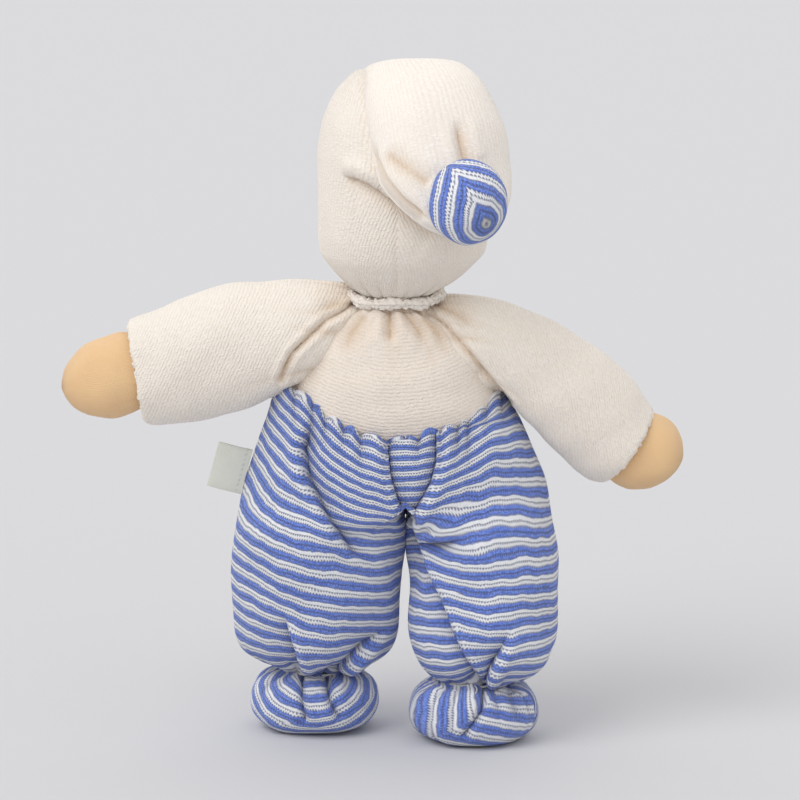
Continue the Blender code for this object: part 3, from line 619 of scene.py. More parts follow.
def camera_at(aim, distance, rise_deg, frame_width):
    """A camera behind the doll that takes in frame_width at the doll."""
    rise = math.radians(rise_deg)
    data = bpy.data.cameras.new("camera")
    data.sensor_width = SENSOR_WIDTH
    data.lens = SENSOR_WIDTH * distance / frame_width
    obj = bpy.data.objects.new("camera", data)
    bpy.context.collection.objects.link(obj)
    back = Vector((0.0, math.cos(rise), math.sin(rise)))
    obj.location = Vector(aim) + distance * back
    obj.rotation_euler = back.to_track_quat("Z", "Y").to_euler()
    bpy.context.scene.camera = obj
    return obj


def smooth(low, high, x):
    t = np.clip((x - low) / (high - low), 0.0, 1.0)
    return t * t * (3.0 - 2.0 * t)


def hill(x, middle, width):
    """A smooth hill of height 1 over the middle."""
    return np.exp(-(((x - middle) / width) ** 2))


def fading(x, reach):
    """1 where x is zero, and less and less on both sides."""
    return np.exp(-np.abs(x) / reach)


def climbing(x, start, softness):
    """Nothing before the start, and one for one after it, with a soft turn."""
    return softness * np.logaddexp(0.0, (x - start) / softness)


def unit(vectors):
    return vectors / np.linalg.norm(vectors, axis=-1, keepdims=True)


def through(keys, values, at):
    """Values read smoothly between keys, with no overshoot."""
    step = np.diff(keys)
    slope = np.diff(values) / step
    turn = np.zeros(len(keys))
    same = slope[:-1] * slope[1:] > 0.0
    weight_a = 2.0 * step[1:] + step[:-1]
    weight_b = step[1:] + 2.0 * step[:-1]
    safe = np.where(same, slope[:-1], 1.0), np.where(same, slope[1:], 1.0)
    inner = (weight_a + weight_b) / (weight_a / safe[0] + weight_b / safe[1])
    turn[1:-1] = np.where(same, inner, 0.0)
    turn[0], turn[-1] = slope[0], slope[-1]
    spot = np.clip(np.searchsorted(keys, at, side="right") - 1, 0, len(keys) - 2)
    h = step[spot]
    t = (at - keys[spot]) / h
    return (
        (1.0 + 2.0 * t) * (1.0 - t) ** 2 * values[spot]
        + t * (1.0 - t) ** 2 * h * turn[spot]
        + t * t * (3.0 - 2.0 * t) * values[spot + 1]
        + t * t * (t - 1.0) * h * turn[spot + 1]
    )


def stations(table, count):
    """A table of stations, read at even steps of the length that it runs through."""
    table = np.array(table, float) * MM
    reach = np.concatenate([[0.0], np.cumsum(np.linalg.norm(np.diff(table, axis=0), axis=1))])
    at = np.linspace(0.0, reach[-1], count)
    return np.column_stack([through(reach, column, at) for column in table.T])


def ring(columns):
    return np.arange(columns) / columns * FULL_TURN


def superring(columns, power):
    """The cosine and sine of a ring that is a little squarer than an ellipse."""
    c, s = np.cos(ring(columns)), np.sin(ring(columns))
    return np.sign(c) * np.abs(c) ** (2.0 / power), np.sign(s) * np.abs(s) ** (2.0 / power)


def level_tube(table, grid, power=2.1):
    """A tube of level rings, whose stations say height, middle x and y, half width and half depth."""
    z, x, y, wide, deep = (column[:, None] for column in stations(table, grid[0]).T)
    c, s = superring(grid[1], power)
    return np.stack([x + wide * c, y + deep * s, z + 0.0 * c], axis=-1)


def limb_tube(table, grid, power=2.1):
    """A tube whose stations say its top and bottom in the X Z plane and its half depth."""
    top_x, top_z, low_x, low_z, deep = (column[:, None] for column in stations(table, grid[0]).T)
    c, s = superring(grid[1], power)
    x = (top_x + low_x) / 2.0 + (top_x - low_x) / 2.0 * c
    z = (top_z + low_z) / 2.0 + (top_z - low_z) / 2.0 * c
    return np.stack([x, MIDDLE_Y * MM + deep * s, z], axis=-1)


def outward(points):
    """The outward normal at each point of a tube."""
    around = np.roll(points, -1, axis=1) - np.roll(points, 1, axis=1)
    normal = np.cross(around, np.gradient(points, axis=0))
    normal /= np.maximum(np.linalg.norm(normal, axis=-1, keepdims=True), np.finfo(float).tiny)
    middle = points.mean(axis=1, keepdims=True)
    return normal * np.sign((normal * (points - middle)).sum())


def lengths(points):
    """How far each point lies along the tube, and around it at its widest."""
    steps = np.linalg.norm(np.diff(points, axis=0), axis=-1)
    along = np.concatenate([np.zeros((1, points.shape[1])), np.cumsum(steps, axis=0)])
    girth = np.linalg.norm(np.roll(points, -1, axis=1) - points, axis=-1).sum(axis=1).max()
    share = np.arange(points.shape[1]) / points.shape[1]
    return along, girth * share + 0.0 * along, girth


def blotches(points, size, seed):
    """Slow random waves through space, from about -1 to 1."""
    rng = np.random.default_rng(seed)
    total = np.zeros(points.shape[:-1])
    for _ in range(UNEVEN_WAVES):
        way = rng.normal(size=3)
        way *= rng.uniform(0.6, 1.5) * FULL_TURN / size / np.linalg.norm(way)
        total += np.sin(points @ way + rng.uniform(0.0, FULL_TURN))
    return total / UNEVEN_PEAK


def from_line(points, line):
    """The signed distance of flat points from a line of points, and how far along it they are."""
    best = np.full(points.shape[:-1], np.inf)
    side = np.zeros(points.shape[:-1])
    along = np.zeros(points.shape[:-1])
    way = np.zeros(points.shape)
    line = np.array(line, float) * MM
    pieces = np.linalg.norm(np.diff(line, axis=0), axis=1)
    done = 0.0
    last = len(pieces) - 1
    for step, (a, b, size) in enumerate(zip(line, line[1:], pieces)):
        run = (b - a) / size
        offset = points - a
        free = offset @ run
        t = np.clip(free, 0.0, size)
        reach = np.clip(free, None if step == 0 else 0.0, None if step == last else size)
        distance = np.linalg.norm(offset - t[..., None] * run, axis=-1)
        nearer = distance < best
        left = np.array([-run[1], run[0]])
        best = np.where(nearer, distance, best)
        side = np.where(nearer, np.sign(offset @ left), side)
        along = np.where(nearer, (done + reach) / pieces.sum(), along)
        way = np.where(nearer[..., None], left, way)
        done += size
    return best * np.where(side == 0.0, 1.0, side), along, way


def presence(along, fade):
    """A fold grows up to the first share of its run, and dies out after the second."""
    grown = smooth(-0.02, max(fade[0], 0.02), along)
    return grown * (1.0 - smooth(min(fade[1], 1.0), max(fade[1] * 1.1, 1.02), along))


def grid_faces(rows, columns, closed_rows=False, closed_columns=True):
    """The square faces of a grid of points, which meets itself where it is closed."""
    here = np.arange(rows * columns).reshape(rows, columns)
    beside = np.roll(here, -1, axis=1)
    quads = np.stack([here, beside, np.roll(beside, -1, axis=0), np.roll(here, -1, axis=0)], axis=-1)
    return quads[: rows - (not closed_rows), : columns - (not closed_columns)].reshape(-1, 4)


def volume(vertices, quads):
    a, b, c, d = (vertices[quads[:, i]] for i in range(4))
    return (np.cross(a, b) * c).sum() + (np.cross(a, c) * d).sum()


def mesh_object(name, vertices, faces, material, fields=None, corners=None):
    mesh = bpy.data.meshes.new(name)
    mesh.from_pydata([tuple(v) for v in np.asarray(vertices).tolist()], [], faces)
    mesh.polygons.foreach_set("use_smooth", [True] * len(mesh.polygons))
    for field, values in (fields or {}).items():
        flat = np.asarray(values, float).reshape(-1)
        flat = np.concatenate([flat, np.full(len(mesh.vertices) - len(flat), flat[-1])])
        mesh.attributes.new(field, "FLOAT", "POINT").data.foreach_set("value", flat.astype(np.float32))
    if corners is not None:
        around = mesh.attributes.new("cloth_around", "FLOAT", "CORNER")
        around.data.foreach_set("value", corners.astype(np.float32))
    mesh.materials.append(material)
    mesh.update()
    mesh.set_sharp_from_angle(angle=math.radians(SHARP_DEG))
    obj = bpy.data.objects.new(name, mesh)
    bpy.context.collection.objects.link(obj)
    return obj


class Piece:
    """A tube of cloth on a grid of points, which its folds push about."""

    def __init__(self, points):
        self.points = points
        self.normal = outward(points)
        self.along, self.around, self.girth = lengths(points)
        self.shade = np.zeros(points.shape[:2])

    def push(self, amount):
        self.points = self.points + self.normal * amount[..., None]

    def shift(self, flat):
        """Moves the cloth in the plane that its lines are drawn in."""
        self.points = self.points.copy()
        self.points[..., BEHIND] += flat

    # Painted shade: cloth_shade darkens the cloth's colour in creases, folds and gathers, and along the hood's seam
    def darken(self, share):
        self.shade = np.maximum(self.shade, share)

    def uneven(self, part):
        height, size, seed = UNEVEN[part]
        self.push(height * blotches(self.points, size, seed))

    def wrinkle(self, part, middle_x=0.0):
        """The creases of a part, and then its folds."""
        for crease in CREASES.get(part, ()):
            line = [(x + middle_x, z) for x, z in crease["line"]]
            self.crease(**dict(crease, line=line))
        for fold in FOLDS.get(part, ()):
            self.fold(**fold)

    def crease(self, line, depth, width, lip=0, jump=0, hollow=0, spread=8, bulge=0.25, fade=(0.02, 1)):
        """A valley along a line, with shoulders beside it, a wider hollow about it and one lip over it."""
        distance, along, way = from_line(self.points[..., BEHIND], line)
        run = smooth(0.0, SEEN_SLANT, self.normal[..., 1]) * presence(along, fade)
        off = distance / (width * MM)
        valley = fading(off, 1.0) * run
        self.push(depth * MM * (bulge * hill(np.abs(off), *SHOULDER_SHARES) * run - valley))
        self.push(-hollow * MM * fading(distance, spread * MM) * run)
        over = lip * MM * hill(off, np.sign(lip) * CREASE_LIP_SHARE, CREASE_LIP_SHARE) * run
        self.shift(-way * over[..., None])
        self.push(0.35 * np.abs(over))
        self.along = self.along + jump * MM / 2.0 * np.tanh(off) * run
        # painted shade in the crease's valley
        self.darken(valley)

    def fold(self, line, depth, tucked, lip, swell, jump=0, tilt=(0, 0), side=1, fade=(0.03, 1)):
        """The cloth beyond a line is tucked under a swollen lip, where its stripes slip and lean."""
        distance, along, way = from_line(self.points[..., BEHIND], line)
        distance = distance * side / MM
        off = np.abs(distance)
        seen = smooth(0.0, SEEN_SLANT, self.normal[..., 1])
        run = presence(along, fade) * seen
        under = distance > 0.0
        self.push(-depth * MM * fading(off, np.where(under, tucked, FOLD_CORE)) * run)
        self.push(swell * MM * np.where(under, 0.0, hill(off, *SWELL_PLACE)) * run)
        self.shift(way * (side * lip * MM * hill(distance, *LIP_PLACE) * run)[..., None])
        lean = np.where(under, *tilt) * TILT_REACH * MM * (1.0 - fading(off, TILT_REACH)) * hill(off, 0.0, LEAN_REACH)
        lean = lean * seen * presence(along, (fade[0], LEAN_END_SHARE)) * (along < 1.02)
        slip = jump * MM / 2.0 * np.tanh(distance / SLIP_WIDTH) * fading(off, SLIP_REACH)
        self.along = self.along + lean + slip * run
        # painted shade on the tucked side of the fold
        self.darken(fading(off, np.where(under, SHADE_REACH, FOLD_CORE)) * run)

    def gather(self, row, count, depth, reach, width, seed, least_radius):
        """Random pleats that run away from a drawn thread at one row of the tube."""
        rng = np.random.default_rng(seed)
        away = np.abs(self.along - self.along[row])
        radius = np.linalg.norm(self.points - self.points.mean(axis=1, keepdims=True), axis=-1)
        angle = ring(self.points.shape[1])
        total = np.zeros(self.shade.shape)
        for step in range(count):
            centre = (step + rng.uniform(-0.32, 0.32)) / count * FULL_TURN
            own_width = width * MM * rng.uniform(0.6, 1.5)
            own_reach = reach * MM * rng.uniform(0.5, 1.4)
            lean = rng.uniform(-6.0, 6.0)
            turn = (angle - centre - lean * away + math.pi) % FULL_TURN - math.pi
            near = np.abs(turn) * np.maximum(radius, least_radius * MM) / own_width
            fall = np.exp(-((away / own_reach) ** 1.6))
            total += rng.uniform(0.5, 1.2) * np.exp(-near) * fall
        total -= total.mean(axis=1, keepdims=True) * 0.9
        self.push(-depth * MM * total)
        # painted shade in the pleats
        self.darken(np.clip(total, 0.0, 1.0))

    def mesh(self, name, material, pitch):
        """The finished tube, with its ends closed, whose pattern meets itself round the girth."""
        rows, columns = self.shade.shape
        vertices = np.concatenate([self.points.reshape(-1, 3), self.points[[0, -1]].mean(axis=1)])
        low = np.arange(columns)
        high = low + (rows - 1) * columns
        end = np.full(columns, rows * columns)
        groups = [
            grid_faces(rows, columns),
            np.stack([np.roll(low, -1), low, end], axis=-1),
            np.stack([high, np.roll(high, -1), end + 1], axis=-1),
        ]
        if volume(vertices, groups[0]) < 0.0:
            groups = [group[:, ::-1] for group in groups]
        fit = round(self.girth / pitch) * pitch / self.girth
        around = np.concatenate([self.around.reshape(-1), self.around[[0, -1], 0]]) * fit
        girth = self.girth * fit
        corners = []
        for group in groups:
            start = around[group[:, :1]]
            step = (around[group] - start + girth / 2.0) % girth - girth / 2.0
            corners.append((start + step).reshape(-1))
        faces = [face for group in groups for face in group.tolist()]
        fields = {"cloth_along": self.along, "cloth_shade": self.shade}
        return mesh_object(name, vertices, faces, material, fields, np.concatenate(corners))


class Nodes:
    """Short ways to write a material's nodes."""

    def __init__(self, name):
        self.material = bpy.data.materials.new(name)
        self.material.use_nodes = True
        self.tree = self.material.node_tree
        self.shader = self.tree.nodes["Principled BSDF"]
        self.shader.inputs["Metallic"].default_value = 0.0

    def add(self, kind, inputs=(), output=0, **settings):
        node = self.tree.nodes.new(kind)
        for key, value in settings.items():
            setattr(node, key, value)
        for key, value in dict(inputs).items():
            self.put(node.inputs[key], value)
        return node.outputs[output]

    def put(self, socket, value):
        if isinstance(value, bpy.types.NodeSocket):
            self.tree.links.new(value, socket)
        elif hasattr(socket.default_value, "__len__") and len(socket.default_value) == 4 and len(value) == 3:
            socket.default_value = (*value, 1.0)
        else:
            socket.default_value = value

    def math(self, operation, *values):
        return self.add("ShaderNodeMath", dict(enumerate(values)), operation=operation)

    def plus(self, a, b):
        return self.math("ADD", a, b)

    def minus(self, a, b):
        return self.math("SUBTRACT", a, b)

    def times(self, a, b):
        return self.math("MULTIPLY", a, b)

    def over(self, a, b):
        return self.math("DIVIDE", a, b)

    def wave(self, value):
        """Up and down between 0 and a half, once in every whole number."""
        return self.math("PINGPONG", value, 0.5)

    def mix(self, share, a, b):
        return self.add("ShaderNodeMix", {0: share, 6: a, 7: b}, output=2, data_type="RGBA")

    def field(self, name):
        return self.add("ShaderNodeAttribute", output=2, attribute_name=name)

    def noise(self, scale, detail=2.0, roughness=0.5):
        place = self.add("ShaderNodeTexCoord", output=3)
        inputs = {"Vector": place, "Scale": scale, "Detail": detail, "Roughness": roughness}
        return self.add("ShaderNodeTexNoise", inputs)

    def ramp(self, value, low, high):
        return self.add(
            "ShaderNodeMapRange",
            {0: value, 1: low, 2: high, 3: 0.0, 4: 1.0},
            interpolation_type="SMOOTHSTEP",
        )

    def finish(self, colour, height, bump_distance, roughness, sheen, sheen_tint=(1.0, 1.0, 1.0)):
        self.put(self.shader.inputs["Base Color"], colour)
        self.put(self.shader.inputs["Roughness"], roughness)
        self.shader.inputs["Specular IOR Level"].default_value = 0.25
        self.shader.inputs["Sheen Weight"].default_value = sheen
        self.shader.inputs["Sheen Roughness"].default_value = 0.5
        self.shader.inputs["Sheen Tint"].default_value = (*sheen_tint, 1.0)
        bump = self.add("ShaderNodeBump", {"Height": height, "Distance": bump_distance, "Strength": 1.0})
        self.put(self.shader.inputs["Normal"], bump)
        return self.material


def terry(name, across, along, cream, relief):
    """Cream terry: fine ribs of little loops, warmer and darker between the ribs, and darker in the folds as painted
    shade.
    """
    n = Nodes(name)
    drift = n.times(n.minus(n.noise(85.0, 2.0), 0.5), RIB_DRIFT)
    waver = n.plus(drift, n.times(n.minus(n.noise(420.0, 3.0), 0.5), RIB_WAVER))
    rib_at = n.over(n.plus(n.field(across), waver), RIB_PITCH)
    loop_at = n.over(n.plus(n.field(along), waver), LOOP_PITCH)
    rib = n.math("ABSOLUTE", n.math("SINE", n.times(rib_at, math.pi)))
    cell = n.add("ShaderNodeCombineXYZ", {0: rib_at, 1: loop_at})
    loops = n.add("ShaderNodeTexVoronoi", {"Vector": cell, "Scale": 1.0, "Randomness": 0.6})
    loop = n.ramp(loops, 0.75, 0.1)
    grain = n.noise(2100.0, 4.0, 0.75)
    patchy = n.ramp(n.noise(70.0, 2.0), 0.35, 0.65)
    height = n.plus(n.times(rib, 0.55), n.times(loop, 0.6))
    height = n.plus(height, n.times(grain, 0.7))
    groove = n.times(n.minus(1.0, n.ramp(rib, 0.05, 0.75)), n.plus(0.25, patchy))
    deep = n.plus(n.times(groove, 0.10), n.times(n.minus(1.0, loop), 0.15))
    # painted shade: cloth_shade darkens the cream in folds, creases and gathers
    deep = n.plus(deep, n.times(n.field("cloth_shade"), 0.6))
    colour = n.mix(deep, cream, CREAM_GROOVE_AND_SHADE)
    tone = n.ramp(n.noise(45.0, 3.0), 0.35, 0.68)
    colour = n.mix(n.times(tone, 0.16), colour, CREAM_WORN)
    return n.finish(colour, height, relief, 0.95, 0.35)


def knit(name):
    """Striped knit: rows of small stitches in blue and white, with tiny holes in the white."""
    n = Nodes(name)
    waver = n.times(n.minus(n.noise(230.0, 3.0), 0.5), KNIT_WAVER)
    wale = n.over(n.plus(n.field("cloth_around"), n.times(waver, 0.5)), STITCH_PITCH)
    arch = n.wave(wale)
    at = n.plus(n.plus(n.field("cloth_along"), waver), n.times(arch, STITCH_ARCH))
    stripe = n.wave(n.over(at, STRIPE_PITCH))
    blue = n.ramp(stripe, 0.205, 0.290)
    rows = n.over(at, ROW_PITCH)
    half_step = n.times(n.math("ROUND", rows), 0.5)
    beside = n.times(n.wave(n.plus(wale, half_step)), STITCH_PITCH)
    above = n.times(n.wave(rows), ROW_PITCH)
    from_hole = n.math("SQRT", n.plus(n.times(beside, beside), n.times(above, above)))
    hole = n.ramp(from_hole, *HOLE_RIM)
    row_top = n.ramp(above, 0.0, ROW_ROUNDING)
    grain = n.noise(2400.0, 3.0, 0.7)
    fuzz = n.ramp(n.noise(1150.0, 2.0, 0.6), 0.38, 0.66)
    height = n.times(row_top, n.plus(0.12, n.times(blue, 0.30)))
    height = n.plus(height, n.times(n.ramp(arch, 0.0, 0.3), 0.35))
    height = n.minus(height, n.times(hole, 0.9))
    height = n.plus(height, n.times(grain, 0.4))
    blues = n.mix(n.times(fuzz, 0.8), BLUE, BLUE_FUZZ)
    blues = n.mix(n.times(n.ramp(above, BLUE_GROOVE, 0.0), 0.45), blues, BLUE_DEEP)
    whites = n.mix(n.times(n.ramp(above, WHITE_GROOVE, 0.0), 0.08), WHITE, WHITE_DEEP)
    whites = n.mix(n.times(fuzz, 0.25), whites, WHITE_FUZZ)
    colour = n.mix(blue, whites, blues)
    colour = n.mix(n.times(hole, 0.72), colour, HOLE_COLOUR)
    shade = n.times(n.field("cloth_shade"), 0.62)
    colour = n.mix(shade, colour, KNIT_SHADE)
    return n.finish(colour, height, KNIT_RELIEF, 0.9, 0.25)


def jersey(name, shade_and_blush_colour):
    """Skin jersey: fine upright stitches, a little uneven in tone."""
    n = Nodes(name)
    wale = n.over(n.field("cloth_around"), WALE_PITCH)
    line = n.wave(wale)
    loops = n.wave(n.plus(n.over(n.field("cloth_along"), JERSEY_ROW_PITCH), line))
    grain = n.noise(3000.0, 2.0, 0.6)
    height = n.plus(n.times(line, 1.0), n.times(loops, 0.5))
    height = n.plus(height, n.times(grain, 0.3))
    tone = n.ramp(n.noise(60.0, 3.0), 0.35, 0.7)
    colour = n.mix(n.times(tone, 0.5), SKIN, SKIN_UNEVEN)
    dark = n.times(n.minus(1.0, n.ramp(line, 0.0, 0.25)), 0.34)
    # painted shade: cloth_shade darkens the hands' pleats; on the face the same field holds the real blush of the
    # cheeks
    dark = n.plus(dark, n.times(n.field("cloth_shade"), 0.7))
    colour = n.mix(dark, colour, shade_and_blush_colour)
    return n.finish(colour, height, JERSEY_RELIEF, 0.85, 0.3, SKIN_SHEEN)


def thread(name, colour):
    """Cotton thread laid side by side, with a soft sheen."""
    n = Nodes(name)
    lay = n.wave(n.over(n.field("cloth_around"), THREAD_PITCH))
    grain = n.noise(5200.0, 3.0, 0.6)
    height = n.plus(lay, n.times(grain, 0.35))
    dark = n.times(n.minus(1.0, n.ramp(lay, 0.0, 0.3)), 0.45)
    shaded = tuple(0.5 * part for part in colour)
    return n.finish(n.mix(dark, colour, shaded), height, THREAD_RELIEF, 0.7, 0.3)


def tape(name):
    """Woven label tape: fine square weave, a little yellowed."""
    n = Nodes(name)
    warp = n.wave(n.over(n.field("cloth_along"), WEAVE_PITCH))
    weft = n.wave(n.over(n.field("cloth_around"), WEAVE_PITCH))
    height = n.plus(n.times(warp, 0.6), n.times(weft, 0.6))
    tone = n.ramp(n.noise(160.0, 3.0), 0.3, 0.7)
    colour = n.mix(n.times(tone, 0.4), TAPE_WHITE, TAPE_YELLOWED)
    groove = n.times(n.minus(1.0, n.ramp(height, 0.1, 0.5)), 0.2)
    colour = n.mix(groove, colour, TAPE_GROOVE)
    colour = n.mix(n.times(n.field("cloth_shade"), 0.8), colour, TAPE_STITCH)
    return n.finish(colour, height, WEAVE_RELIEF, 0.7, 0.2)


def studio():
    """A pale floor, a plain backdrop that only the camera sees, and soft light from above."""
    n = Nodes("floor")
    speck = n.ramp(n.noise(35.0, 3.0), 0.2, 0.8)
    colour = n.mix(n.times(speck, 0.04), FLOOR_COLOUR, FLOOR_SPECK)
    floor_material = n.finish(colour, n.noise(400.0, 2.0), FLOOR_RELIEF, 0.8, 0.0)
    corners = [(x * FLOOR_REACH, y * FLOOR_REACH, 0.0) for x, y in ((-1, -1), (1, -1), (1, 1), (-1, 1))]
    floor = mesh_object("floor", corners, [(0, 1, 2, 3)], floor_material)

    world = bpy.data.worlds.new("studio")
    bpy.context.scene.world = world
    world.use_nodes = True
    tree = world.node_tree
    light = tree.nodes["Background"]
    light.inputs["Color"].default_value = (1.0, 1.0, 1.0, 1.0)
    light.inputs["Strength"].default_value = WORLD_STRENGTH
    seen = tree.nodes.new("ShaderNodeBackground")
    seen.inputs["Color"].default_value = (*BACKDROP_COLOUR, 1.0)
    seen.inputs["Strength"].default_value = 1.0
    path = tree.nodes.new("ShaderNodeLightPath")
    either = tree.nodes.new("ShaderNodeMath")
    either.operation = "MAXIMUM"
    tree.links.new(path.outputs["Is Camera Ray"], either.inputs[0])
    tree.links.new(path.outputs["Is Glossy Ray"], either.inputs[1])
    both = tree.nodes.new("ShaderNodeMixShader")
    tree.links.new(either.outputs[0], both.inputs[0])
    tree.links.new(light.outputs[0], both.inputs[1])
    tree.links.new(seen.outputs[0], both.inputs[2])
    tree.links.new(both.outputs[0], tree.nodes["World Output"].inputs["Surface"])

    for name, way, strength, softness in SUNS:
        data = bpy.data.lights.new(name, "SUN")
        data.angle = math.radians(softness)
        data.energy = strength
        lamp = bpy.data.objects.new(name, data)
        bpy.context.collection.objects.link(lamp)
        lamp.rotation_euler = Vector(way).to_track_quat("Z", "Y").to_euler()


def place(piece, body, nodes, slot, padded=None, bend=None):
    """The piece rides on its body, or is fixed in place when a bend is given, and hides the CAD nodes it stands for.
    """
    if bend:
        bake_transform(piece)
    else:
        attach(piece, body)
    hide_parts(*nodes)


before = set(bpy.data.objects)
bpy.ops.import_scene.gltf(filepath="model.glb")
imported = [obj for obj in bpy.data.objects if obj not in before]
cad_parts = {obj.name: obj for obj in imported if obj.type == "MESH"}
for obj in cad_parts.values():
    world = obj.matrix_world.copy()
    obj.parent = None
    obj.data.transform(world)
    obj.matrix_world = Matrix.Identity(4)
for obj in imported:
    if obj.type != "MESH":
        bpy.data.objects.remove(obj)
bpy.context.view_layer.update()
camera_at(AIM, CAMERA_DISTANCE, CAMERA_RISE_DEG, FRAME_WIDTH)
studio()

HOOD_TERRY = terry("hood_terry", *TERRIES["hood"])
TAIL_TERRY = terry("tail_terry", *TERRIES["tail"])
SLEEVE_TERRY = terry("sleeve_terry", *TERRIES["sleeve"])
BODY_TERRY = terry("body_terry", *TERRIES["body"])
KNIT = knit("striped_knit_cloth")
JERSEY = jersey("skin_jersey_cloth", SKIN_GROOVE_AND_SHADE)
FACE_JERSEY = jersey("face_jersey_cloth", BLUSH)
EYE_THREAD = thread("eye_thread_stitches", EYE_BLUE)
MOUTH_THREAD = thread("mouth_thread_stitches", MOUTH_RED)
COTTON = thread("white_cotton", COTTON_WHITE)
TAPE = tape("label_tape_weave")


def build_hood():
    hood = Piece(level_tube(HOOD, GRIDS["hood"]))
    x, y, z = (hood.points[..., i] for i in range(3))
    side = (x - FACE_MIDDLE[0] * MM) / (FACE_HALF[0] * MM)
    rise = (z - FACE_MIDDLE[1] * MM) / (FACE_HALF[1] * MM)
    reach = np.sqrt(side**2 + rise**2)
    front = smooth(0.0, 0.3, -hood.normal[..., 1])
    front_less = smooth(0.0, 0.4, hood.normal[..., 1])
    hood.push(-OPENING_SINK * (1.0 - smooth(0.90, 1.06, reach)) * front)
    hood.push(OPENING_RIM * hill(reach, 1.10, 0.08) * front)
    hood.wrinkle("hood")
    beside_tail, run, _ = from_line(hood.points[..., BEHIND], BESIDE_TAIL)
    hood.push(BESIDE_TAIL_SWELL * fading(beside_tail, BESIDE_TAIL_REACH) * front_less * smooth(1.1, 0.8, run))
    hood.gather(*GATHERS["hood"])
    half_girth = hood.girth / 2.0
    around = np.abs((hood.around - hood.around[:, [SEAM_COLUMN]] + half_girth) % hood.girth - half_girth)
    spread = np.clip((z / MM - FAN_HEIGHT) * FAN_SHARE, *FAN_LIMITS) * MM
    hood.around = around + hill(around, 0.0, FAN_REACH) * spread
    seam = fading(x - SEAM_X * MM, SEAM_WIDTH * MM)
    hood.push(-SEAM_DEPTH * seam * smooth(0.0, 0.4, hood.normal[..., 1]))
    hood.darken(0.16 * seam * smooth(0.2, 0.5, hood.normal[..., 1]))
    hood.uneven("hood")
    piece = hood.mesh("hood_cloth", HOOD_TERRY, RIB_PITCH)
    place(piece, "head", ["hood"], "cream_terry", padded=0.8)


def build_face():
    """The jersey head seen through the hood's opening, with a small nose and blushed cheeks."""
    table = []
    for z, x, y, wide, deep in HOOD[FACE_STATIONS]:
        height = FACE_MIDDLE[1] + (z - FACE_MIDDLE[1]) * FACE_HEIGHT_SHARE
        table.append((height, x, y, wide * FACE_WIDTH_SHARE, deep * FACE_DEPTH_SHARE))
    skin = Piece(level_tube(table, GRIDS["face"]))
    x, y, z = (skin.points[..., i] / MM for i in range(3))
    back = smooth(-24.0, -10.0, y)
    skin.points[..., 1] = (y + (FACE_BACK_Y - y) * 0.45 * back) * MM
    skin.points[..., 0] = (FACE_MIDDLE[0] + (x - FACE_MIDDLE[0]) * (1.0 - 0.12 * back)) * MM
    front = smooth(-30.0, -40.0, y)
    across, up = x - FACE_MIDDLE[0], z - FACE_MIDDLE[1]
    skin.uneven("face")
    skin.push(NOSE_HEIGHT * hill(across, NOSE[0], NOSE[2]) * hill(up, NOSE[1], NOSE[3]) * front)
    cheeks = hill(np.abs(across), CHEEK[0], CHEEK[2]) * hill(up, CHEEK[1], CHEEK[3])
    skin.shade = 0.42 * cheeks * front
    piece = skin.mesh("face_jersey", FACE_JERSEY, WALE_PITCH)
    place(piece, "head", ["head_skin", "head_stuffing"], "skin_jersey", padded=0.9)
    for name, material in (("left_eye", EYE_THREAD), ("right_eye", EYE_THREAD), ("mouth", MOUTH_THREAD)):
        build_stitches(name, material)


def build_stitches(name, material):
    """A small patch of satin stitch, round for an eye and a shallow smile for the mouth."""
    low, high = (np.array(corner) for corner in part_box(name))
    middle = (low + high) / 2.0
    half = (high - low) / 2.0
    smile = SMILE_RISE if name == "mouth" else 0.0
    rows, columns = GRIDS["stitches"]
    turn = ring(columns)[None, :]
    out = np.linspace(0.02, math.pi / 2.0, rows)[:, None]
    share = np.sin(out)
    x = share * np.cos(turn) * half[0]
    z = share * np.sin(turn) * half[2] + smile * (x / half[0]) ** 2
    y = -np.cos(out) * (PATCH_HEIGHT + PATCH_GROOVE * np.abs(np.sin(x / THREAD_PITCH * math.pi / 2.0)))
    off = middle[0] - FACE_MIDDLE[0] * MM
    y = y + ((x + off) ** 2 - off**2) / (2.0 * HEAD_HUG_RADIUS)
    points = np.stack([x, y, z], axis=-1) + middle
    patch = Piece(points)
    patch.around = x + 0.0 * z
    patch.girth = 1.0
    piece = patch.mesh(name + "_stitches", material, THREAD_PITCH)
    place(piece, "head", [name], "mouth_thread" if name == "mouth" else "eye_thread")


def build_tail():
    rows, columns = GRIDS["tail"]
    values = stations(TAIL, rows)
    c, s = superring(columns, TAIL_POWER)
    spine = values[:, :3]
    turn = values[:, 5] / MM * math.pi / 180.0
    across = np.stack([-np.cos(turn), -np.sin(turn), 0.0 * turn], axis=-1)
    way = unit(np.gradient(spine, axis=0))
    thin = unit(np.cross(across, way))
    offset = values[:, 3, None] * c
    bent = offset**2 / (2.0 * HEAD_HUG_RADIUS)
    bent *= smooth(0.18, 0.5, np.linspace(0.0, 1.0, len(values)))[:, None]
    points = (
        spine[:, None, :]
        + across[:, None, :] * offset[..., None]
        + thin[:, None, :] * (values[:, 4, None] * s)[..., None]
    )
    points[..., 1] -= bent
    tail = Piece(points)
    tail.wrinkle("tail")
    tail.gather(*GATHERS["tail"])
    tail.uneven("tail")
    piece = tail.mesh("cap_tail_cloth", TAIL_TERRY, RIB_PITCH)
    place(piece, None, ["cap_tail"], "cream_terry", padded=0.5, bend=TAIL_BEND)


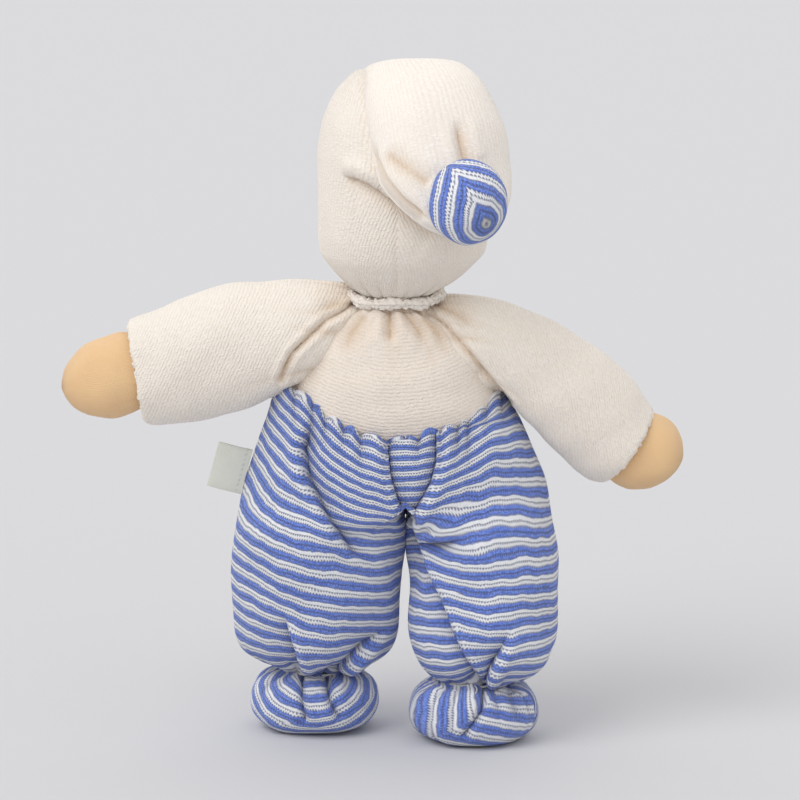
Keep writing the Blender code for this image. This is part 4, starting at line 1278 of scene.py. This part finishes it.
def build_tip():
    low, high = (np.array(corner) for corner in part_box("cap_tip"))
    middle = (low + high) / 2.0
    rows, columns = GRIDS["tip"]
    polar = np.linspace(0.02, math.pi - 0.02, rows)[:, None]
    angle = ring(columns)[None, :]
    pole = unit(np.array(TIP_POLE))
    side = unit(np.cross(pole, (0.0, 0.0, 1.0)))
    up = np.cross(side, pole)
    way = (
        np.cos(polar)[..., None] * pole
        + (np.sin(polar) * np.cos(angle))[..., None] * side
        + (np.sin(polar) * np.sin(angle))[..., None] * up
    )
    tip = Piece(middle + way * TIP_HALF)
    rise = math.radians(CAMERA_RISE_DEG)
    view = [(1.0, 0.0, 0.0), (0.0, -math.sin(rise), math.cos(rise)), (0.0, math.cos(rise), math.sin(rise))]
    heart = unit(TIP_CENTRE @ np.array(view))
    point_way = TIP_POINT @ np.array(view)
    point_way = unit(point_way - (point_way @ heart) * heart)
    off = np.arccos(np.clip(way @ heart, -1.0, 1.0))
    turn = np.arctan2(way @ np.cross(heart, point_way), way @ point_way)
    tip.along = off * (0.98 - 0.46 * fading(turn, 0.70)) * TIP_STRIPE_RADIUS - TIP_STRIPE_START
    tip.around = turn * TIP_STITCH_RADIUS
    tip.girth = FULL_TURN * TIP_STITCH_RADIUS
    tip.uneven("tip")
    piece = tip.mesh("cap_tip_knit", KNIT, STITCH_PITCH)
    place(piece, "tail", ["cap_tip", "cap_tip_stuffing"], "striped_knit", padded=0.9)


def build_torso():
    torso = Piece(level_tube(TORSO, GRIDS["torso"], TRUNK_POWER))
    torso.gather(*GATHERS["torso"])
    torso.wrinkle("torso")
    for line in (LEFT_RAGLAN, RIGHT_RAGLAN):
        torso.crease(line, 3.3, 1.3, bulge=0.1)
    torso.uneven("torso")
    piece = torso.mesh("torso_cloth", BODY_TERRY, LOOP_PITCH)
    nodes = ["torso_cover", "body_stuffing", "waist_thread", "neck_stuffing"]
    place(piece, "trunk", nodes, "cream_terry", padded=0.7)


def build_neck_roll():
    """The raw rolled edge of terry where the hood is sewn down at the neck."""
    rows, columns = GRIDS["roll"]
    turn = ring(rows)[:, None]
    tube = ring(columns)[None, :]
    rng = np.random.default_rng(ROLL_SEED)
    ragged = 0.6 * np.sin(turn * 37.0 + tube * 2.0) + 0.6 * rng.normal(size=(rows, columns))
    thick = ROLL_THICKNESS + ROLL_RAGGED * ragged + ROLL_SWELLS * np.sin(turn * 9.0 + 1.0)
    radius = ROLL_RADIUS + thick * np.cos(tube)
    x = ROLL_MIDDLE[0] + ROLL_WIDTH_SHARE * radius * np.cos(turn)
    y = ROLL_MIDDLE[1] + radius * np.sin(turn)
    z = ROLL_MIDDLE[2] + 1.1 * thick * np.sin(tube) - ROLL_SAG * np.sin(turn) + ROLL_WAVES * np.sin(turn * 5.0)
    points = np.stack([x, y, z], axis=-1) * MM
    along, around = np.broadcast_arrays(tube * ROLL_LOOPS, turn * ROLL_RIBS)
    fields = {"cloth_along": along, "cloth_around": around, "cloth_shade": 0.0 * along}
    faces = grid_faces(rows, columns, closed_rows=True).tolist()
    piece = mesh_object("neck_roll_cloth", points.reshape(-1, 3), faces, TAIL_TERRY, fields)
    place(piece, "neck", ["neck_thread"], "cream_terry", padded=0.9)


def build_sleeve(side):
    table, _, _, start, end = ARMS[side]
    sleeve = Piece(limb_tube(table, GRIDS["sleeve"]))
    sleeve.uneven(side + "_sleeve")
    sleeve.gather(*GATHERS["sleeve"])
    sleeve.wrinkle(side + "_sleeve")
    edge = np.arange(sleeve.points.shape[1])
    rng = np.random.default_rng(CUFF_SEED)
    jag = np.interp(edge, np.arange(0, len(edge), 2), rng.normal(size=len(edge[::2])))
    cuff = int(np.argmax(np.abs(sleeve.points[..., 0].mean(axis=1))))
    near = hill(np.arange(len(sleeve.points)), cuff, 3.0)[:, None]
    way = unit(np.gradient(sleeve.points, axis=0))
    sleeve.points = sleeve.points + way * (CUFF_RAGGED[0] * near * jag)[..., None]
    sleeve.push(CUFF_RAGGED[1] * near * np.roll(jag, 3))
    piece = sleeve.mesh(side + "_sleeve_cloth", SLEEVE_TERRY, LOOP_PITCH)
    bend = ("trunk", side + "_arm", start, end)
    place(piece, None, [side + "_sleeve", side + "_arm_stuffing"], "cream_terry", padded=0.8, bend=bend)


def build_hand(side):
    hand = Piece(limb_tube(ARMS[side][2], GRIDS["hand"]))
    hand.gather(*GATHERS["hand"])
    hand.uneven("hand")
    piece = hand.mesh(side + "_hand_jersey", JERSEY, WALE_PITCH)
    nodes = [side + "_hand", side + "_hand_stuffing", side + "_wrist_thread"]
    place(piece, side + "_palm", nodes, "skin_jersey", padded=0.9)


def trouser_points(side, rows, columns):
    """Half of the seat above, which closes into a leg of its own below the parting."""
    sign = 1.0 if side == "left" else -1.0
    leg = stations(LEGS[side][0], rows)
    z, inner, outer, middle_y, deep = (column[:, None] for column in leg.T)
    angle = ring(columns)[None, :]
    c, s = superring(columns, TRUNK_POWER)
    own_x = (inner + outer) / 2.0 + (outer - inner) / 2.0 * c
    own_y = middle_y + deep * s

    seat = np.array(SEAT)[::-1] * MM
    seat_x, seat_wide, seat_deep = (through(seat[:, 0], seat[:, i], z[:, 0])[:, None] for i in (1, 2, 3))
    plane = MIDDLE_PLANE_X * MM
    limit = np.arccos(np.clip(sign * (plane - seat_x) / seat_wide, -1.0, 1.0))
    signed = (angle + math.pi) % FULL_TURN - math.pi
    third = FULL_TURN / 3.0
    on_seat = np.clip(signed / third, -1.0, 1.0) * limit
    x = seat_x + sign * seat_wide * np.cos(on_seat)
    middle = MIDDLE_Y * MM
    y = middle + seat_deep * np.sin(on_seat)
    wall = np.clip((math.pi - np.abs(signed)) / (math.pi - third), 0.0, 1.0)
    walled = middle + (y - middle) * 0.90 * np.sin(wall * math.pi / 2.0)
    y = np.where(np.abs(signed) > third, walled, y)
    own = 1.0 - smooth(*PARTING, z / MM)
    x = x + (own_x - x) * own
    y = y + (own_y - y) * own
    keys, heights = np.array(WAIST_RIM).T * MM
    rim = through(keys, heights, np.clip(x, keys[0], keys[-1]))
    lift = np.clip((z / MM - RIM_LIFT_FROM) / (SEAT_TOP - RIM_LIFT_FROM), 0.0, 1.0)
    return np.stack([x, y, z + (rim - SEAT_TOP * MM) * lift], axis=-1), z[:, 0]


def lean_stripes(leg, side):
    """The stripes climb to the outside of the left leg, and drop to that of the right."""
    flat = leg.points[..., BEHIND]
    x, z = flat[..., 0] / MM, flat[..., 1] / MM
    if side == "left":
        climb = 0.10 * (x + 12.0) + 0.27 * climbing(x, 22.0, 6.0)
        climb = climb + 0.8 * climbing(x, 38.0, 4.0) * smooth(88.0, 128.0, z)
        from_thigh = from_line(flat, THIGH_LINE)[0] / MM
        climb = climb - 0.36 * np.clip(-from_thigh, 0.0, 44.0) * smooth(80.0, 110.0, z)
        outside = smooth(-0.5, 0.5, from_line(flat, LEFT_MIDDLE_LINE)[0] / MM)
    else:
        climb = -0.30 * climbing(-x, 62.0, 5.0) * smooth(125.0, 98.0, z)
        outside = 1.0
    leg.along = leg.along + climb * (outside * smooth(94.0, 102.0, z) + smooth(102.0, 94.0, z)) * MM


def draw_waist(leg):
    """Gathers under the rim, where the stripes dip and the cloth puffs out between."""
    x, z = leg.points[..., 0] / MM, leg.points[..., 2] / MM
    keys, heights = np.array(WAIST_RIM).T
    rim = through(keys, heights, np.clip(x, keys[0], keys[-1]))
    below = np.maximum(rim - z, 0.0)
    pinch = np.zeros(x.shape)
    for place, reach in WAIST_GATHERS:
        pinch = np.maximum(pinch, fading(x - place, GATHER_WIDTH) * hill(below, 0.0, 1.35 * reach))
    puff = hill(below, 0.0, 9.0)
    seen = smooth(-0.3, 0.1, np.abs(leg.normal[..., 1]) - 0.1)
    leg.push((GATHER_PUFF * puff - GATHER_DEPTH * pinch) * seen * MM)
    leg.along = leg.along - GATHER_SLIP * pinch * seen * MM
    # painted shade in the pinched gathers under the rim
    leg.darken(0.8 * pinch * seen)
    leg.points[..., 2] -= GATHER_DIP * pinch * seen * hill(below, 0.0, 5.0) * MM


def build_trousers(side):
    rows, columns = GRIDS["trouser"]
    points, heights = trouser_points(side, rows, columns)
    edge = outward(points)[0]
    inner_rows = []
    for drop, inset in WAIST_HEM:
        level = points[0] - edge * np.array([1.0, 1.0, 0.0]) * inset * MM
        inner_rows.append(level - np.array([0.0, 0.0, drop * MM]))
    points = np.concatenate([np.array(inner_rows), points])
    leg = Piece(points)
    limit = MIDDLE_PLANE_X * MM
    on_plane = (np.abs(points[..., 0] - limit) < PLANE_REACH) & (points[..., 2] > PLANE_FROM)
    leg.normal[..., 0] = np.where(on_plane, 0.0, leg.normal[..., 0])
    leg.normal /= np.maximum(np.linalg.norm(leg.normal, axis=-1, keepdims=True), LEAST_NORMAL)
    arc = leg.along.mean(axis=1)
    top, start, hem = SEAT_TOP * MM, STRIPES_FROM * MM, len(WAIST_HEM)
    heights = np.concatenate([top + arc[hem] - arc[:hem], heights])
    turning = int(np.argmax(heights < start))
    level = np.where(np.arange(len(arc)) < turning, top - heights, top - start + arc - arc[turning])
    leg.along = level[:, None] + 0.0 * leg.along
    lean_stripes(leg, side)
    for height, size, seed in STRIPE_WANDERS:
        leg.along = leg.along + height * blotches(points, size, seed)
    leg.wrinkle(side + "_trouser")
    draw_waist(leg)
    leg.gather(*GATHERS[side + "_trouser"])
    leg.uneven("trouser")
    x = leg.points[..., 0]
    x = np.maximum(x, limit) if side == "left" else np.minimum(x, limit)
    leg.points[..., 0] = np.where(on_plane, limit, x)
    piece = leg.mesh(side + "_trouser_cloth", KNIT, STITCH_PITCH)
    hip_x = LEGS[side][1]
    bend = ("trunk", side + "_leg", *((hip_x, MIDDLE_Y * MM, height) for height in HIP_BEND_HEIGHTS))
    nodes = [side + "_trouser_leg", side + "_leg_stuffing"]
    if side == "left":
        nodes.append("trouser_seat")
    place(piece, None, nodes, "striped_knit", padded=0.8, bend=bend)


def build_foot(side):
    middle_x, middle_y = ANKLES[side]
    table = [(z, middle_x, middle_y, wide, deep) for z, wide, deep in FOOT]
    foot = Piece(level_tube(table, GRIDS["foot"]))
    centre = np.array([middle_x, middle_y, FOOT_CENTRE_Z]) * MM
    way = unit(foot.points - centre)
    pole = unit(np.array(FOOT_POLES[side]))
    bend = np.arccos(np.clip(way @ pole, -1.0, 1.0))
    foot.along = bend * FOOT_STRIPE_RADIUS
    side_way = np.cross(pole, (0.0, 0.0, 1.0))
    foot.around = np.arctan2(way @ side_way, way @ np.cross(side_way, pole)) * FOOT_STITCH_RADIUS
    foot.girth = FULL_TURN * FOOT_STITCH_RADIUS
    if side == "right":
        across = way @ np.array([0.98, 0.20, 0.0]) + 0.02
        down = way @ np.array([0.25, 0.10, -0.96]) + 0.22
        rear = smooth(-0.2, 0.3, foot.normal[..., 1])
        foot.along = foot.along * (1.0 - rear) + np.maximum(across, down) * FOOT_BAR_LENGTH * rear
        foot.around = foot.around * (1.0 - rear) + np.minimum(across, down) * FOOT_BAR_LENGTH * rear
    foot.wrinkle(side + "_foot", middle_x)
    foot.gather(*GATHERS[side + "_foot"])
    foot.uneven("foot")
    foot.points[..., 2] = np.maximum(foot.points[..., 2], FLOOR_GAP)
    piece = foot.mesh(side + "_foot_knit", KNIT, STITCH_PITCH)
    nodes = [side + "_foot", side + "_foot_stuffing"]
    place(piece, side + "_sole", nodes, "striped_knit", padded=0.9)


def build_label():
    """A bare care label: one piece of tape, folded at its outer edge and sewn into the side seam."""
    rows, columns = GRIDS["label"]
    across = np.linspace(-1.0, 1.0, rows)[:, None]
    up = np.linspace(-LABEL_HALF_HEIGHT, LABEL_HALF_HEIGHT, columns)[None, :]
    x = (LABEL_LENGTH - LABEL_TUCK) * (1.0 - np.abs(across)) + 0.0 * up
    bow = LABEL_BOW * np.sin(x / LABEL_LENGTH * math.pi) * (1.0 + 0.3 * up / LABEL_HALF_HEIGHT)
    y = LABEL_GAP * np.tanh(across * 8.0) + bow
    local = np.stack([x, y, up + 0.0 * x], axis=-1) * MM
    turn = Euler([math.radians(angle) for angle in LABEL_TURN_DEG]).to_matrix()
    points = local @ np.array(turn).T + np.array(LABEL_PLACE) * MM
    edge = fading(LABEL_HALF_HEIGHT - np.abs(up), LABEL_EDGE)
    seam = hill(x, *LABEL_SEAM) * (np.sin(up * 2.6) > 0.0)
    around = (up + 0.0 * x) * MM
    fields = {"cloth_along": x * MM, "cloth_around": around, "cloth_shade": np.maximum(edge * 0.5, seam)}
    faces = grid_faces(rows, columns, closed_columns=False).tolist()
    piece = mesh_object("care_label_tape", points.reshape(-1, 3), faces, TAPE, fields)
    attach(piece, "label")
    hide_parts("care_label")


def thread_tube(name, line, radius):
    """A thread along a line of points, closed at its ends."""
    way = unit(np.gradient(line, axis=0))
    first = unit(np.cross(way, (0.31, 0.12, 0.94)))
    second = np.cross(way, first)
    angle = ring(10)[None, :, None]
    out = np.cos(angle) * first[:, None, :] + np.sin(angle) * second[:, None, :]
    tube = Piece((line[:, None, :] + radius * out) * MM)
    tube.around = tube.along + 0.0005 * ring(10)[None, :]
    tube.girth = 1.0
    return tube.mesh(name, COTTON, THREAD_PITCH)


def build_ankle_thread(side):
    """Cotton wound twice round the ankle; at the right ankle its end hangs loose."""
    middle_x, middle_y = ANKLES[side]
    turn = np.linspace(-3.5 * math.pi, 0.5 * math.pi, 200)
    radius = ANKLE_TURN_RADIUS + ANKLE_TURN_PLAY * np.sin(turn * 5.5)
    level = ANKLE_TURN_HEIGHT + ANKLE_TURN_PLAY * turn / math.pi + ANKLE_TURN_WAVE * np.sin(turn * 3.0)
    line = np.stack([middle_x + radius * np.cos(turn), middle_y + radius * np.sin(turn), level], axis=-1)
    if side == "right":
        at = np.linspace(0.0, len(LOOSE_END) - 1.0, 50)
        keys = np.arange(len(LOOSE_END), dtype=float)
        loose = np.column_stack([through(keys, column, at) for column in np.array(LOOSE_END).T])
        line = np.concatenate([line, loose])
    piece = thread_tube(side + "_ankle_cotton", line, COTTON_RADIUS)
    place(piece, side + "_sole", [side + "_ankle_thread"], "thread")


build_hood()
build_face()
build_label()
build_tail()
build_tip()
build_torso()
build_neck_roll()
for side in ARMS:
    build_sleeve(side)
for side in ARMS:
    build_hand(side)
for side in LEGS:
    build_trousers(side)
    build_foot(side)
    build_ankle_thread(side)

bpy.context.scene.view_settings.view_transform = "Standard"
